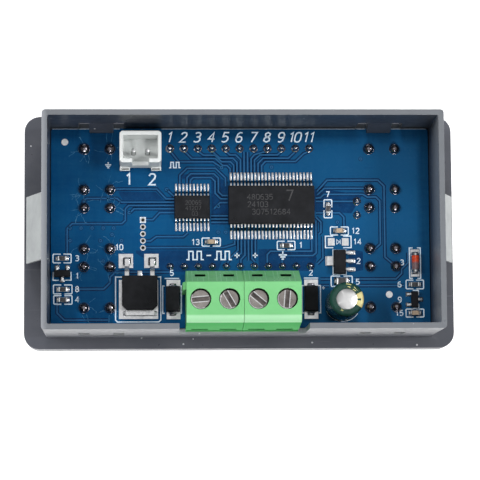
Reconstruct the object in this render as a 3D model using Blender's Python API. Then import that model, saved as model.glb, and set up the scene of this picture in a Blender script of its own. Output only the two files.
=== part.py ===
"""A panel-mount pulse driver module, lying on the front of its bezel with its open back up.

The bezel's front lip is at z = 0 and +Z points out of the open back. +X runs along the long side.
Every dimension below is in millimetres; meshes are scaled to metres as they are made.
"""

import math

import bmesh
import bpy
from mathutils import Matrix, Vector

MM = 0.001

# Housing: bezel, sleeve and front plate
BEZEL_WIDTH, BEZEL_HEIGHT, BEZEL_RADIUS = 79.0, 43.0, 2.8
SLEEVE_WIDTH, SLEEVE_HEIGHT, SLEEVE_RADIUS = 71.0, 38.8, 0.6
WALL = 1.0
LIP_WIDTH = 1.7
FACE_Z = 1.0
PLATE_Z = 2.6
FLANGE_Z = 4.8
DEPTH = 25.8

# Circuit board
BOARD_WIDTH, BOARD_HEIGHT = 68.7, 36.4
BOARD_Z, BOARD_TOP = 10.0, 11.6
SEAT_Z = BOARD_TOP + 0.05
FEATURE_X = -0.1
SOLDER_Z = 12.4

# Gaps: at rest between stacked pieces, and round pieces that slide or turn
REST_GAP = 0.1
RUN_GAP = 0.1

# Display
WINDOW_WIDTH, WINDOW_HEIGHT = 37.8, 16.6
DISPLAY_Y = 3.76
GLASS_WIDTH, GLASS_HEIGHT = 38.0, 20.5
GLASS_Z, GLASS_TOP = 3.3, 6.1
BACKLIGHT_HEIGHT, BACKLIGHT_TOP = 19.4, 9.7
PIN_ROW = 10.77
PIN_PITCH, PINS_PER_ROW = 2.54, 11

# Keys: six caps over six tact switches
KEY_X = 25.93
KEY_ROWS = (10.72, -0.06, -10.78)
KEY_RADIUS, KEY_FLANGE = 3.5, 4.3
KEY_TOP = 0.2
KEY_TRAVEL = 0.25
SWITCH_SIDE, SWITCH_FACE_Z, SWITCH_TIP_Z = 6.0, 6.5, 5.0
SWITCH_LEG_X, SWITCH_LEG_Y = 2.35, 3.72
PLUNGER_RADIUS = 1.7

# Terminal blocks: two poles each
POLE_PITCH = 5.08
BLOCK_Z, BLOCK_TOP = 11.7, 24.3
BLOCK_BACK, BLOCK_SHOULDER_Z = -8.4, 17.3
BLOCK_TOP_BACK, BLOCK_FRONT, BLOCK_ROUND = -11.0, -18.2, 1.4
BLOCK_APRON_Y, BLOCK_APRON_Z = -18.75, 16.8
BLOCK_LIP_Y, BLOCK_LIP_Z, BLOCK_LIP_TOP = -19.0, 13.25, 13.65
ENTRY_HALF_WIDTH, ENTRY_Z, ENTRY_TOP = 1.5, 13.8, 16.4
VENT_HALF_WIDTH, VENT_BACK, VENT_FRONT, VENT_Z = 0.95, -9.25, -9.75, 16.0
SCREW_Y = -14.0
SCREW_HEAD_RADIUS, SCREW_SHANK_RADIUS = 1.75, 1.25
SCREW_HEAD_Z, SCREW_HEAD_TOP, SCREW_TIP_Z = 22.2, 23.4, 17.0
SLOT_ANGLES = (5.0, -60.0, -40.0, 85.0)
CHAMBER_TOP = 21.2
CAGE_Z, CAGE_TOP = 12.3, 18.1
CAGE_OPEN_Z, CAGE_OPEN_TOP = 13.3, 17.1
CAGE_HALF_WIDTH, CAGE_HALF_DEPTH = 1.8, 1.6
BLADE_Z, BLADE_TOP = 16.4, 16.9

# Panel clips
CLIP_ROOT_X, CLIP_ROOT_Z = 35.2, 16.6
CLIP_TIP_X, CLIP_TIP_Z = 38.7, 8.0
CLIP_THICKNESS, CLIP_HALF_WIDTH = 0.6, 6.1
CLIP_POCKET = 0.65

# Two-pin control socket
SOCKET_X, SOCKET_Y = -18.14, 13.85
SOCKET_WIDTH, SOCKET_DEPTH, SOCKET_TOP = 7.5, 5.75, 18.6
SOCKET_WALL, SOCKET_FLOOR_Z = 0.65, 13.4
SOCKET_PIN_PITCH, SOCKET_PIN_Y = 2.5, 13.4

# Capacitor
CAPACITOR_X, CAPACITOR_Y = 18.2, -14.0
CAPACITOR_RADIUS, CAPACITOR_Z, CAPACITOR_TOP = 3.05, 11.8, 22.7
CAPACITOR_LEAD = 1.25

# Board drill sizes
PIN_HOLE, LEG_HOLE, LEAD_HOLE = 0.45, 0.5, 0.6

ROUND_STEPS = 20
HOLE_STEPS = 8


# ---------------------------------------------------------------- materials and objects


def clear_scene():
    for obj in list(bpy.data.objects):
        bpy.data.objects.remove(obj, do_unlink=True)


def make_material(name, color, roughness, metallic=0.0, alpha=1.0):
    made = bpy.data.materials.new(name)
    made.use_nodes = True
    shader = made.node_tree.nodes["Principled BSDF"]
    shader.inputs["Base Color"].default_value = (*color, 1.0)
    shader.inputs["Roughness"].default_value = roughness
    shader.inputs["Metallic"].default_value = metallic
    shader.inputs["Alpha"].default_value = alpha
    made.diffuse_color = (*color, alpha)
    return made


def finish_object(name, bm, look, origin=(0.0, 0.0, 0.0), smooth=True):
    """Make an object in metres from a bmesh in millimetres, with its origin at the given point."""
    bmesh.ops.recalc_face_normals(bm, faces=bm.faces)
    bm.transform(Matrix.Scale(MM, 4) @ Matrix.Translation(-Vector(origin)))
    mesh = bpy.data.meshes.new(name)
    bm.to_mesh(mesh)
    bm.free()
    if look is not None:
        mesh.materials.append(look)
    if smooth:
        mesh.shade_smooth()
        mesh.set_sharp_from_angle(angle=math.radians(35.0))
    made = bpy.data.objects.new(name, mesh)
    made.location = Vector(origin) * MM
    bpy.context.collection.objects.link(made)
    return made


def combine(target, bm, operation):
    """Cut a shape out of an object, or join the shape to it."""
    label = f"{target.name}_{operation.lower()}_{len(target.modifiers)}"
    tool = finish_object(label, bm, None, smooth=False)
    tool.hide_render = True
    tool.display_type = "WIRE"
    modifier = target.modifiers.new(label, "BOOLEAN")
    modifier.operation = operation
    modifier.object = tool


def cut(target, bm):
    combine(target, bm, "DIFFERENCE")


def join(target, bm):
    combine(target, bm, "UNION")


# ---------------------------------------------------------------- shapes


def add_prism(bm, outline, low, high, axis="z"):
    """Extrude an outline along an axis: (x, y) along z, (x, z) along y or (y, z) along x."""
    place = {
        "z": lambda u, v: (u, v, low),
        "y": lambda u, v: (u, low, v),
        "x": lambda u, v: (low, u, v),
    }[axis]
    step = Vector({"z": (0, 0, 1), "y": (0, 1, 0), "x": (1, 0, 0)}[axis]) * (high - low)
    face = bm.faces.new([bm.verts.new(place(u, v)) for u, v in outline])
    grown = bmesh.ops.extrude_face_region(bm, geom=[face])["geom"]
    corners = [item for item in grown if isinstance(item, bmesh.types.BMVert)]
    bmesh.ops.translate(bm, verts=corners, vec=step)


def add_box(bm, x, y, z):
    add_prism(bm, [(x[0], y[0]), (x[1], y[0]), (x[1], y[1]), (x[0], y[1])], z[0], z[1])


def add_turned(bm, profile, centre, steps=ROUND_STEPS):
    """Turn a profile of (radius, z) points about an upright axis; its ends lie on the axis."""
    corners = [bm.verts.new((centre[0] + radius, centre[1], z)) for radius, z in profile]
    edges = [bm.edges.new(pair) for pair in zip(corners, corners[1:])]
    bmesh.ops.spin(
        bm,
        geom=corners + edges,
        cent=(centre[0], centre[1], 0.0),
        axis=(0, 0, 1),
        angle=math.tau,
        steps=steps,
        use_merge=True,
    )
    bmesh.ops.remove_doubles(bm, verts=bm.verts, dist=1e-4)


def add_cylinder(bm, radius, centre, z, steps=ROUND_STEPS):
    bmesh.ops.create_cone(
        bm,
        cap_ends=True,
        segments=steps,
        radius1=radius,
        radius2=radius,
        depth=z[1] - z[0],
        matrix=Matrix.Translation((centre[0], centre[1], 0.5 * (z[0] + z[1]))),
    )


def rounded_rectangle(width, height, radius, centre=(0.0, 0.0), steps=4):
    points = []
    for quarter in range(4):
        spread = math.radians(45.0 + 90.0 * quarter)
        x = centre[0] + math.copysign(0.5 * width - radius, math.cos(spread))
        y = centre[1] + math.copysign(0.5 * height - radius, math.sin(spread))
        for step in range(steps + 1):
            turn = math.radians(90.0 * (quarter + step / steps))
            points.append((x + radius * math.cos(turn), y + radius * math.sin(turn)))
    return points


def mirrored(outline, side):
    return [(side * u, v) for u, v in outline]


def key_places():
    """Name suffix and centre of each key, left column first."""
    places = []
    for side in (-1, 1):
        for row in KEY_ROWS:
            places.append((len(places) + 1, FEATURE_X + side * KEY_X, row))
    return places


def pole_places():
    return [(index + 1, (index - 1.5) * POLE_PITCH) for index in range(4)]


def display_pins():
    """Centre of each display pin, and the side of the glass that it is on."""
    for side in (-1, 1):
        for index in range(PINS_PER_ROW):
            x = FEATURE_X + (index - (PINS_PER_ROW - 1) / 2) * PIN_PITCH
            yield x, DISPLAY_Y + side * PIN_ROW, side


# ---------------------------------------------------------------- housing and clips


def snap_hook(bm, x, side):
    """A tongue of the long wall whose nose holds the board down."""
    outer, inner = 0.5 * SLEEVE_HEIGHT, 0.5 * SLEEVE_HEIGHT - WALL
    outline = [
        (outer, 17.2),
        (outer, 11.8),
        (inner - 1.05, 11.8),
        (inner - 1.05, 12.4),
        (inner, 16.0),
        (inner, 17.2),
    ]
    add_prism(bm, mirrored(outline, side), x - 2.15, x + 2.15, axis="x")


def build_housing(look):
    bm = bmesh.new()
    add_prism(bm, rounded_rectangle(BEZEL_WIDTH, BEZEL_HEIGHT, BEZEL_RADIUS, steps=6), 0.0, FLANGE_Z)
    housing = finish_object("housing", bm, look)

    bm = bmesh.new()
    add_prism(bm, rounded_rectangle(SLEEVE_WIDTH, SLEEVE_HEIGHT, SLEEVE_RADIUS), 3.0, DEPTH)
    join(housing, bm)

    bm = bmesh.new()
    face = (BEZEL_WIDTH - 2 * LIP_WIDTH, BEZEL_HEIGHT - 2 * LIP_WIDTH)
    add_prism(bm, rounded_rectangle(*face, BEZEL_RADIUS - 1.0), -1.0, FACE_Z)
    inside = (SLEEVE_WIDTH - 2 * WALL, SLEEVE_HEIGHT - 2 * WALL)
    add_prism(bm, rounded_rectangle(*inside, 0.3, steps=2), PLATE_Z, DEPTH + 1.0)
    cut(housing, bm)

    bm = bmesh.new()
    window = rounded_rectangle(WINDOW_WIDTH, WINDOW_HEIGHT, 0.5, (FEATURE_X, DISPLAY_Y), steps=2)
    add_prism(bm, window, 0.0, 3.5)
    for _, x, y in key_places():
        add_cylinder(bm, KEY_RADIUS + 0.2, (x, y), (0.0, 3.5))
    wire_notch = [
        (-11.4, DEPTH + 1.0),
        (-11.4, 14.9),
        (-11.25, 14.1),
        (-10.85, 13.45),
        (-10.3, 13.1),
        (10.3, 13.1),
        (10.85, 13.45),
        (11.25, 14.1),
        (11.4, 14.9),
        (11.4, DEPTH + 1.0),
    ]
    add_prism(bm, wire_notch, -21.0, -18.0, axis="y")
    for x in (-25.2, 25.2):
        for side in (-1, 1):
            wall = sorted((side * 18.2, side * 20.0))
            add_box(bm, (x - 4.05, x + 4.05), wall, (10.0, 16.6))
    for side in (-1, 1):
        pocket = sorted((side * (0.5 * SLEEVE_WIDTH - CLIP_POCKET), side * 36.5))
        add_box(bm, pocket, (-CLIP_HALF_WIDTH - 0.3, CLIP_HALF_WIDTH + 0.3), (FLANGE_Z, 17.5))
    cut(housing, bm)

    bm = bmesh.new()
    for x in (-25.2, 25.2):
        for side in (-1, 1):
            snap_hook(bm, x, side)
    for x_side in (-1, 1):
        for y_side in (-1, 1):
            x = sorted((x_side * 31.8, x_side * 34.8))
            y = sorted((y_side * 16.4, y_side * 18.7))
            add_box(bm, x, y, (2.2, BOARD_Z - REST_GAP))
    join(housing, bm)


def build_panel_clip(side, name, look):
    """A sprung leaf that leans out from its root and pulls the bezel against a panel."""
    along = Vector((CLIP_TIP_X - CLIP_ROOT_X, CLIP_TIP_Z - CLIP_ROOT_Z)).normalized()
    out = Vector((-along.y, along.x)) * 0.5 * CLIP_THICKNESS
    root = Vector((CLIP_ROOT_X, CLIP_ROOT_Z))
    tip = Vector((CLIP_TIP_X, CLIP_TIP_Z))
    heel = 0.5 * CLIP_THICKNESS
    outline = [
        root - out,
        tip - out,
        tip - out * 0.5 + along * 0.25,
        tip + out * 0.5 + along * 0.25,
        tip + out,
        root + out,
        Vector((CLIP_ROOT_X + heel, CLIP_ROOT_Z + 0.6)),
        Vector((CLIP_ROOT_X - heel + 0.05, CLIP_ROOT_Z + 0.6)),
    ]
    bm = bmesh.new()
    add_prism(bm, mirrored(outline, side), -CLIP_HALF_WIDTH, CLIP_HALF_WIDTH, axis="y")
    finish_object(name, bm, look, (side * CLIP_ROOT_X, 0.0, CLIP_ROOT_Z))


# ---------------------------------------------------------------- display and keys


def build_display_lens(look):
    centre = (FEATURE_X, DISPLAY_Y)
    bm = bmesh.new()
    add_prism(bm, rounded_rectangle(WINDOW_WIDTH - 0.4, WINDOW_HEIGHT - 0.4, 0.4, centre, 2), 1.1, 3.0)
    lens = finish_object("display_lens", bm, look)
    bm = bmesh.new()
    add_prism(bm, rounded_rectangle(WINDOW_WIDTH + 2.0, WINDOW_HEIGHT + 2.0, 0.6, centre, 2), 2.7, 3.2)
    join(lens, bm)


def build_display_glass(look):
    half_width, half_height = 0.5 * GLASS_WIDTH, 0.5 * GLASS_HEIGHT
    bm = bmesh.new()
    x = (FEATURE_X - half_width, FEATURE_X + half_width)
    y = (DISPLAY_Y - half_height, DISPLAY_Y + half_height)
    add_box(bm, x, y, (GLASS_Z, GLASS_TOP))
    glass = finish_object("display_glass", bm, look)
    bm = bmesh.new()
    for x, y, side in display_pins():
        foot = y - side * (PIN_ROW - half_height + 0.15)
        outline = [
            (foot, 4.2),
            (y + side * 0.15, 4.2),
            (y + side * 0.15, SOLDER_Z),
            (y - side * 0.15, SOLDER_Z),
            (y - side * 0.15, 4.8),
            (foot, 4.8),
        ]
        add_prism(bm, outline, x - 0.25, x + 0.25, axis="x")
    join(glass, bm)


def build_backlight(look):
    bm = bmesh.new()
    x = (FEATURE_X - 19.0, FEATURE_X + 19.0)
    y = (DISPLAY_Y - 0.5 * BACKLIGHT_HEIGHT, DISPLAY_Y + 0.5 * BACKLIGHT_HEIGHT)
    add_box(bm, x, y, (GLASS_TOP + REST_GAP, BACKLIGHT_TOP))
    backlight = finish_object("display_backlight", bm, look)
    bm = bmesh.new()
    add_box(bm, (18.0, 22.1), (0.8, 6.4), (6.6, 9.3))
    join(backlight, bm)
    bm = bmesh.new()
    for y in (2.27, 4.81):
        add_box(bm, (21.05, 21.35), (y - 0.25, y + 0.25), (8.8, SOLDER_Z))
    join(backlight, bm)


def build_key(number, x, y, looks):
    """A cap that slides in the front plate, the switch behind it and the plunger between them."""
    bm = bmesh.new()
    cap = [
        (0.0, KEY_TOP + 0.12),
        (2.2, KEY_TOP + 0.08),
        (KEY_RADIUS - 0.5, KEY_TOP),
        (KEY_RADIUS, KEY_TOP + 0.45),
        (KEY_RADIUS, PLATE_Z + 0.15),
        (KEY_FLANGE, PLATE_Z + 0.15),
        (KEY_FLANGE, PLATE_Z + 0.75),
        (1.5, PLATE_Z + 0.75),
        (1.5, SWITCH_TIP_Z - 0.05),
        (0.0, SWITCH_TIP_Z - 0.05),
    ]
    add_turned(bm, cap, (x, y))
    finish_object(f"key_cap_{number}", bm, looks["cap"], (x, y, KEY_TOP))

    bm = bmesh.new()
    half = 0.5 * SWITCH_SIDE
    outline = rounded_rectangle(SWITCH_SIDE, SWITCH_SIDE, 0.5, (x, y), steps=1)
    add_prism(bm, outline, SWITCH_FACE_Z, BOARD_Z - REST_GAP)
    switch = finish_object(f"tact_switch_{number}", bm, looks["switch"])
    bm = bmesh.new()
    for side in (-1, 1):
        leg_y = y + side * SWITCH_LEG_Y
        outline = [
            (y + side * (half - 0.2), 9.0),
            (leg_y + side * 0.15, 9.0),
            (leg_y + side * 0.15, SOLDER_Z),
            (leg_y - side * 0.15, SOLDER_Z),
            (leg_y - side * 0.15, 9.3),
            (y + side * (half - 0.2), 9.3),
        ]
        for leg_x in (x - SWITCH_LEG_X, x + SWITCH_LEG_X):
            add_prism(bm, outline, leg_x - 0.35, leg_x + 0.35, axis="x")
    join(switch, bm)
    bm = bmesh.new()
    add_cylinder(bm, PLUNGER_RADIUS + RUN_GAP, (x, y), (SWITCH_FACE_Z - 1.0, SWITCH_FACE_Z + 1.2), 16)
    cut(switch, bm)

    bm = bmesh.new()
    add_cylinder(bm, PLUNGER_RADIUS, (x, y), (SWITCH_TIP_Z, SWITCH_FACE_Z + 0.8), 16)
    finish_object(f"switch_plunger_{number}", bm, looks["plunger"], (x, y, SWITCH_TIP_Z))


# ---------------------------------------------------------------- board


def build_board(look):
    bm = bmesh.new()
    add_prism(bm, rounded_rectangle(BOARD_WIDTH, BOARD_HEIGHT, 0.5, steps=2), BOARD_Z, BOARD_TOP)
    board = finish_object("circuit_board", bm, look)
    through = (BOARD_Z - 1.0, BOARD_TOP + 1.0)
    bm = bmesh.new()
    for x, y, _ in display_pins():
        add_cylinder(bm, PIN_HOLE, (x, y), through, 6)
    for y in (2.27, 4.81):
        add_cylinder(bm, PIN_HOLE, (21.2, y), through, 6)
    for _, x, y in key_places():
        for leg_x in (x - SWITCH_LEG_X, x + SWITCH_LEG_X):
            for leg_y in (y - SWITCH_LEG_Y, y + SWITCH_LEG_Y):
                add_cylinder(bm, LEG_HOLE, (leg_x, leg_y), through, HOLE_STEPS)
    for index in range(5):
        add_cylinder(bm, 0.3, (-17.72, 1.45 - index * 1.27), through, HOLE_STEPS)
    for side in (-1, 1):
        pin = (SOCKET_X + side * 0.5 * SOCKET_PIN_PITCH, SOCKET_PIN_Y)
        add_cylinder(bm, LEAD_HOLE, pin, through, HOLE_STEPS)
        add_cylinder(bm, 0.45, (CAPACITOR_X + side * CAPACITOR_LEAD, CAPACITOR_Y), through, HOLE_STEPS)
    for _, x in pole_places():
        add_cylinder(bm, 0.75, (x, -11.3), through, HOLE_STEPS)
    cut(board, bm)


# ---------------------------------------------------------------- terminal blocks


def build_terminal_block(name, centre_x, look):
    """A two-pole rising-clamp block, with a dovetail rib on its left and a groove on its right."""
    half = POLE_PITCH - 0.03
    outline = [
        (BLOCK_BACK, BLOCK_Z),
        (BLOCK_BACK, BLOCK_SHOULDER_Z),
        (BLOCK_TOP_BACK, BLOCK_TOP),
    ]
    for step in range(4):
        turn = math.radians(90.0 - 30.0 * step)
        y = BLOCK_FRONT + BLOCK_ROUND - BLOCK_ROUND * math.cos(turn)
        outline.append((y, BLOCK_TOP - BLOCK_ROUND + BLOCK_ROUND * math.sin(turn)))
    outline += [
        (BLOCK_FRONT + 0.15, 22.65),
        (BLOCK_FRONT, 22.4),
        (BLOCK_APRON_Y, BLOCK_APRON_Z),
        (BLOCK_APRON_Y, BLOCK_LIP_TOP),
        (BLOCK_LIP_Y, BLOCK_LIP_TOP),
        (BLOCK_LIP_Y, BLOCK_LIP_Z),
        (BLOCK_FRONT, BLOCK_LIP_Z),
        (BLOCK_FRONT, BLOCK_Z),
    ]
    bm = bmesh.new()
    add_prism(bm, outline, centre_x - half, centre_x + half, axis="x")
    block = finish_object(name, bm, look)

    bm = bmesh.new()
    left = centre_x - half
    rib = [(left + 0.2, -10.7), (left - 0.6, -10.9), (left - 0.6, -12.3), (left + 0.2, -12.1)]
    add_prism(bm, rib, BLOCK_Z, 22.0)
    join(block, bm)

    bm = bmesh.new()
    right = centre_x + half
    groove = [(right + 0.2, -10.6), (right - 0.75, -10.75), (right - 0.75, -12.45), (right + 0.2, -12.2)]
    add_prism(bm, groove, BLOCK_Z - 1.0, 22.3)
    cut(block, bm)

    for x in (centre_x - 0.5 * POLE_PITCH, centre_x + 0.5 * POLE_PITCH):
        bm = bmesh.new()
        chamber_x = CAGE_HALF_WIDTH + 0.15
        add_box(bm, (x - chamber_x, x + chamber_x), (-16.2, -10.85), (BLOCK_Z - 1.0, CHAMBER_TOP))
        cut(block, bm)
        bm = bmesh.new()
        add_cylinder(bm, SCREW_HEAD_RADIUS + RUN_GAP, (x, SCREW_Y), (SCREW_HEAD_Z - 0.1, BLOCK_TOP + 1.0))
        entry_x = (x - ENTRY_HALF_WIDTH, x + ENTRY_HALF_WIDTH)
        add_box(bm, entry_x, (BLOCK_LIP_Y - 1.0, -15.5), (ENTRY_Z, ENTRY_TOP))
        vent_x = (x - VENT_HALF_WIDTH, x + VENT_HALF_WIDTH)
        add_box(bm, vent_x, (VENT_FRONT, VENT_BACK), (VENT_Z, BLOCK_TOP + 1.0))
        cut(block, bm)
        bm = bmesh.new()
        add_cylinder(bm, SCREW_SHANK_RADIUS + RUN_GAP, (x, SCREW_Y), (CHAMBER_TOP - 1.0, SCREW_HEAD_Z + 1.0))
        cut(block, bm)


def build_terminal_screw(number, x, look):
    bm = bmesh.new()
    profile = [
        (0.0, SCREW_TIP_Z),
        (SCREW_SHANK_RADIUS - 0.3, SCREW_TIP_Z),
        (SCREW_SHANK_RADIUS, SCREW_TIP_Z + 0.3),
        (SCREW_SHANK_RADIUS, SCREW_HEAD_Z),
        (SCREW_HEAD_RADIUS, SCREW_HEAD_Z),
        (SCREW_HEAD_RADIUS, SCREW_HEAD_TOP - 0.15),
        (SCREW_HEAD_RADIUS - 0.15, SCREW_HEAD_TOP),
        (0.0, SCREW_HEAD_TOP),
    ]
    add_turned(bm, profile, (x, SCREW_Y))
    screw = finish_object(f"terminal_screw_{number}", bm, look, (x, SCREW_Y, SCREW_HEAD_TOP))
    bm = bmesh.new()
    add_box(bm, (-3.0, 3.0), (-0.4, 0.4), (SCREW_HEAD_TOP - 0.8, SCREW_HEAD_TOP + 1.0))
    spin = Matrix.Rotation(math.radians(SLOT_ANGLES[number - 1]), 4, "Z")
    bm.transform(Matrix.Translation((x, SCREW_Y, 0.0)) @ spin)
    cut(screw, bm)


def build_clamp_cage(number, x, look):
    """A ring round the contact blade that the screw pulls up, threaded in its top wall."""
    front, back = SCREW_Y - CAGE_HALF_DEPTH, SCREW_Y + CAGE_HALF_DEPTH
    bm = bmesh.new()
    add_box(bm, (x - CAGE_HALF_WIDTH, x + CAGE_HALF_WIDTH), (front, back), (CAGE_Z, CAGE_TOP))
    cage = finish_object(f"clamp_cage_{number}", bm, look, (x, SCREW_Y, CAGE_TOP))
    bm = bmesh.new()
    opening = CAGE_HALF_WIDTH - 0.5
    add_box(bm, (x - opening, x + opening), (front - 1.0, back + 1.0), (CAGE_OPEN_Z, CAGE_OPEN_TOP))
    cut(cage, bm)
    bm = bmesh.new()
    add_cylinder(bm, SCREW_SHANK_RADIUS + 0.05, (x, SCREW_Y), (CAGE_OPEN_TOP - 0.5, CAGE_TOP + 1.0))
    cut(cage, bm)


def build_contact(number, x, look):
    """A blade inside the cage, bent down behind it into the board."""
    outline = [
        (-15.9, BLADE_Z),
        (-15.9, BLADE_TOP),
        (-11.05, BLADE_TOP),
        (-11.05, 8.9),
        (-11.55, 8.9),
        (-11.55, BLADE_Z),
    ]
    bm = bmesh.new()
    add_prism(bm, outline, x - 0.5, x + 0.5, axis="x")
    finish_object(f"terminal_contact_{number}", bm, look)


# ---------------------------------------------------------------- board components


def build_gull_wing_chip(name, centre, body, span, count, pitch, lead_width, look):
    """A chip with leads along its two long sides; body is (length, width, top z)."""
    half = 0.5 * body[1]
    top = body[2]
    middle = 0.5 * (SEAT_Z + top)
    bm = bmesh.new()
    x = (centre[0] - 0.5 * body[0], centre[0] + 0.5 * body[0])
    add_box(bm, x, (centre[1] - half, centre[1] + half), (SEAT_Z + 0.1, top))
    chip = finish_object(name, bm, look)
    outline = [
        (half - 0.15, middle + 0.1),
        (half + 0.4, middle + 0.1),
        (half + 0.65, SEAT_Z + 0.2),
        (0.5 * span, SEAT_Z + 0.2),
        (0.5 * span, SEAT_Z),
        (half + 0.5, SEAT_Z),
        (half + 0.25, middle - 0.1),
        (half - 0.15, middle - 0.1),
    ]
    bm = bmesh.new()
    for side in (-1, 1):
        leads = [(centre[1] + side * u, v) for u, v in outline]
        for index in range(count // 2):
            lead_x = centre[0] + (index - 0.5 * (count // 2 - 1)) * pitch
            add_prism(bm, leads, lead_x - 0.5 * lead_width, lead_x + 0.5 * lead_width, axis="x")
    join(chip, bm)


def build_boxed_part(name, look, body, leads):
    """A moulded body with flat leads; body and each lead are (x, y, z) ranges."""
    bm = bmesh.new()
    add_box(bm, *body)
    part = finish_object(name, bm, look, smooth=False)
    bm = bmesh.new()
    for lead in leads:
        add_box(bm, *lead)
    join(part, bm)


def build_power_transistor(look):
    body = ((-21.5, -15.1), (-15.0, -8.85), (SEAT_Z + 0.1, 13.9))
    leads = [
        ((-20.95, -15.65), (-15.95, -14.5), (SEAT_Z, SEAT_Z + 0.5)),
        ((-21.02, -20.2), (-9.2, -5.65), (SEAT_Z, SEAT_Z + 0.5)),
        ((-16.45, -15.63), (-9.2, -5.65), (SEAT_Z, SEAT_Z + 0.5)),
        ((-18.8, -17.95), (-9.2, -7.9), (SEAT_Z + 0.6, SEAT_Z + 1.1)),
    ]
    build_boxed_part("power_transistor", look, body, leads)


def build_power_diode(name, x, look):
    body = ((x - 1.3, x + 1.3), (-15.2, -10.9), (SEAT_Z + 0.1, 13.7))
    leads = [
        ((x - 0.75, x + 0.75), (-15.6, -14.2), (SEAT_Z, 12.8)),
        ((x - 0.75, x + 0.75), (-11.9, -10.5), (SEAT_Z, 12.8)),
    ]
    build_boxed_part(name, look, body, leads)


def build_regulator(look):
    body = ((16.75, 19.05), (-8.55, -4.1), (SEAT_Z + 0.05, 13.15))
    leads = [((15.55, 17.5), (-6.95, -5.25), (SEAT_Z, SEAT_Z + 0.4))]
    for y in (-7.62, -6.1, -4.58):
        leads.append(((18.5, 20.3), (y - 0.24, y + 0.24), (SEAT_Z, SEAT_Z + 0.4)))
    build_boxed_part("voltage_regulator", look, body, leads)


def build_small_transistor(name, centre, single_lead, look):
    """A three-lead transistor; single_lead points from its middle to the side with one lead."""
    across = Vector((-single_lead[1], single_lead[0]))
    single = Vector(single_lead)

    def block(low, high, z):
        ends = [Vector(centre) + across * u + single * v for u, v in (low, high)]
        x = sorted(end.x for end in ends)
        y = sorted(end.y for end in ends)
        return x, y, z

    flat = (SEAT_Z, SEAT_Z + 0.2)
    leads = [block((-0.2, 0.4), (0.2, 1.2), flat)]
    for u in (-0.95, 0.95):
        leads.append(block((u - 0.2, -1.2), (u + 0.2, -0.4), flat))
    build_boxed_part(name, look, block((-1.45, -0.65), (1.45, 0.65), (SEAT_Z + 0.08, 12.65)), leads)


def build_zener_diode(look):
    """A glass tube diode lying along Y, with a metal cap at each end."""
    half, radius = 1.75, 0.7
    profile = [
        (0.0, -half),
        (radius + 0.05, -half),
        (radius + 0.05, -half + 0.5),
        (radius, -half + 0.5),
        (radius, half - 0.5),
        (radius + 0.05, half - 0.5),
        (radius + 0.05, half),
        (0.0, half),
    ]
    bm = bmesh.new()
    add_turned(bm, profile, (0.0, 0.0), 14)
    lay = Matrix.Rotation(math.radians(90.0), 4, "X")
    bm.transform(Matrix.Translation((31.66, -6.5, SEAT_Z + radius + 0.05)) @ lay)
    finish_object("zener_diode", bm, look)


def build_capacitor(look):
    can_radius, base, top = CAPACITOR_RADIUS, CAPACITOR_Z, CAPACITOR_TOP
    profile = [
        (0.0, base),
        (can_radius - 0.15, base),
        (can_radius, base + 0.2),
        (can_radius, base + 0.9),
        (can_radius - 0.25, base + 1.2),
        (can_radius, base + 1.5),
        (can_radius, top - 0.3),
        (can_radius - 0.3, top),
        (0.0, top),
    ]
    bm = bmesh.new()
    add_turned(bm, profile, (CAPACITOR_X, CAPACITOR_Y))
    capacitor = finish_object("capacitor", bm, look)
    bm = bmesh.new()
    for side in (-1, 1):
        lead_x = CAPACITOR_X + side * CAPACITOR_LEAD
        add_cylinder(bm, 0.25, (lead_x, CAPACITOR_Y), (9.2, base + 0.3), 6)
    join(capacitor, bm)


def build_chip_resistor(name, centre, length, width, upright, look):
    """A chip resistor along X, or along Y if upright, with a raised metal cap at each end."""
    half, cap, height = 0.5 * length, 0.3, 0.5
    outline = [
        (-half, SEAT_Z),
        (half, SEAT_Z),
        (half, SEAT_Z + height),
        (half - cap, SEAT_Z + height),
        (half - cap, SEAT_Z + height - 0.04),
        (cap - half, SEAT_Z + height - 0.04),
        (cap - half, SEAT_Z + height),
        (-half, SEAT_Z + height),
    ]
    along = 1 if upright else 0
    placed = [(centre[along] + u, v) for u, v in outline]
    across = centre[1 - along]
    bm = bmesh.new()
    add_prism(bm, placed, across - 0.5 * width, across + 0.5 * width, axis="x" if upright else "y")
    finish_object(name, bm, look, smooth=False)


# ---------------------------------------------------------------- control socket


def build_control_socket(look):
    half_x, half_y = 0.5 * SOCKET_WIDTH, 0.5 * SOCKET_DEPTH
    outline = rounded_rectangle(SOCKET_WIDTH, SOCKET_DEPTH, 0.4, (SOCKET_X, SOCKET_Y), steps=1)
    bm = bmesh.new()
    add_prism(bm, outline, SEAT_Z, SOCKET_TOP)
    socket = finish_object("control_socket", bm, look)

    bm = bmesh.new()
    x = (SOCKET_X - half_x + SOCKET_WALL, SOCKET_X + half_x - SOCKET_WALL)
    y = (SOCKET_Y - half_y + 0.75, SOCKET_Y + half_y - 0.75)
    add_box(bm, x, y, (SOCKET_FLOOR_Z, SOCKET_TOP + 1.0))
    cut(socket, bm)
    bm = bmesh.new()
    add_box(bm, (SOCKET_X - 1.5, SOCKET_X + 1.5), (SOCKET_Y - half_y - 1.0, SOCKET_Y - 1.5), (14.6, 20.0))
    for side in (-1, 1):
        pin_x = SOCKET_X + side * 0.5 * SOCKET_PIN_PITCH
        pin = 0.32 + 0.06
        add_box(bm, (pin_x - pin, pin_x + pin), (SOCKET_PIN_Y - pin, SOCKET_PIN_Y + pin), (11.0, 14.0))
    cut(socket, bm)
    bm = bmesh.new()
    for side in (-1, 1):
        foot = sorted((SOCKET_X + side * 1.9, SOCKET_X + side * half_x))
        add_box(bm, foot, (SOCKET_Y - half_y - 0.6, SOCKET_Y - half_y + 0.2), (SEAT_Z, 12.6))
    join(socket, bm)


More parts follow.
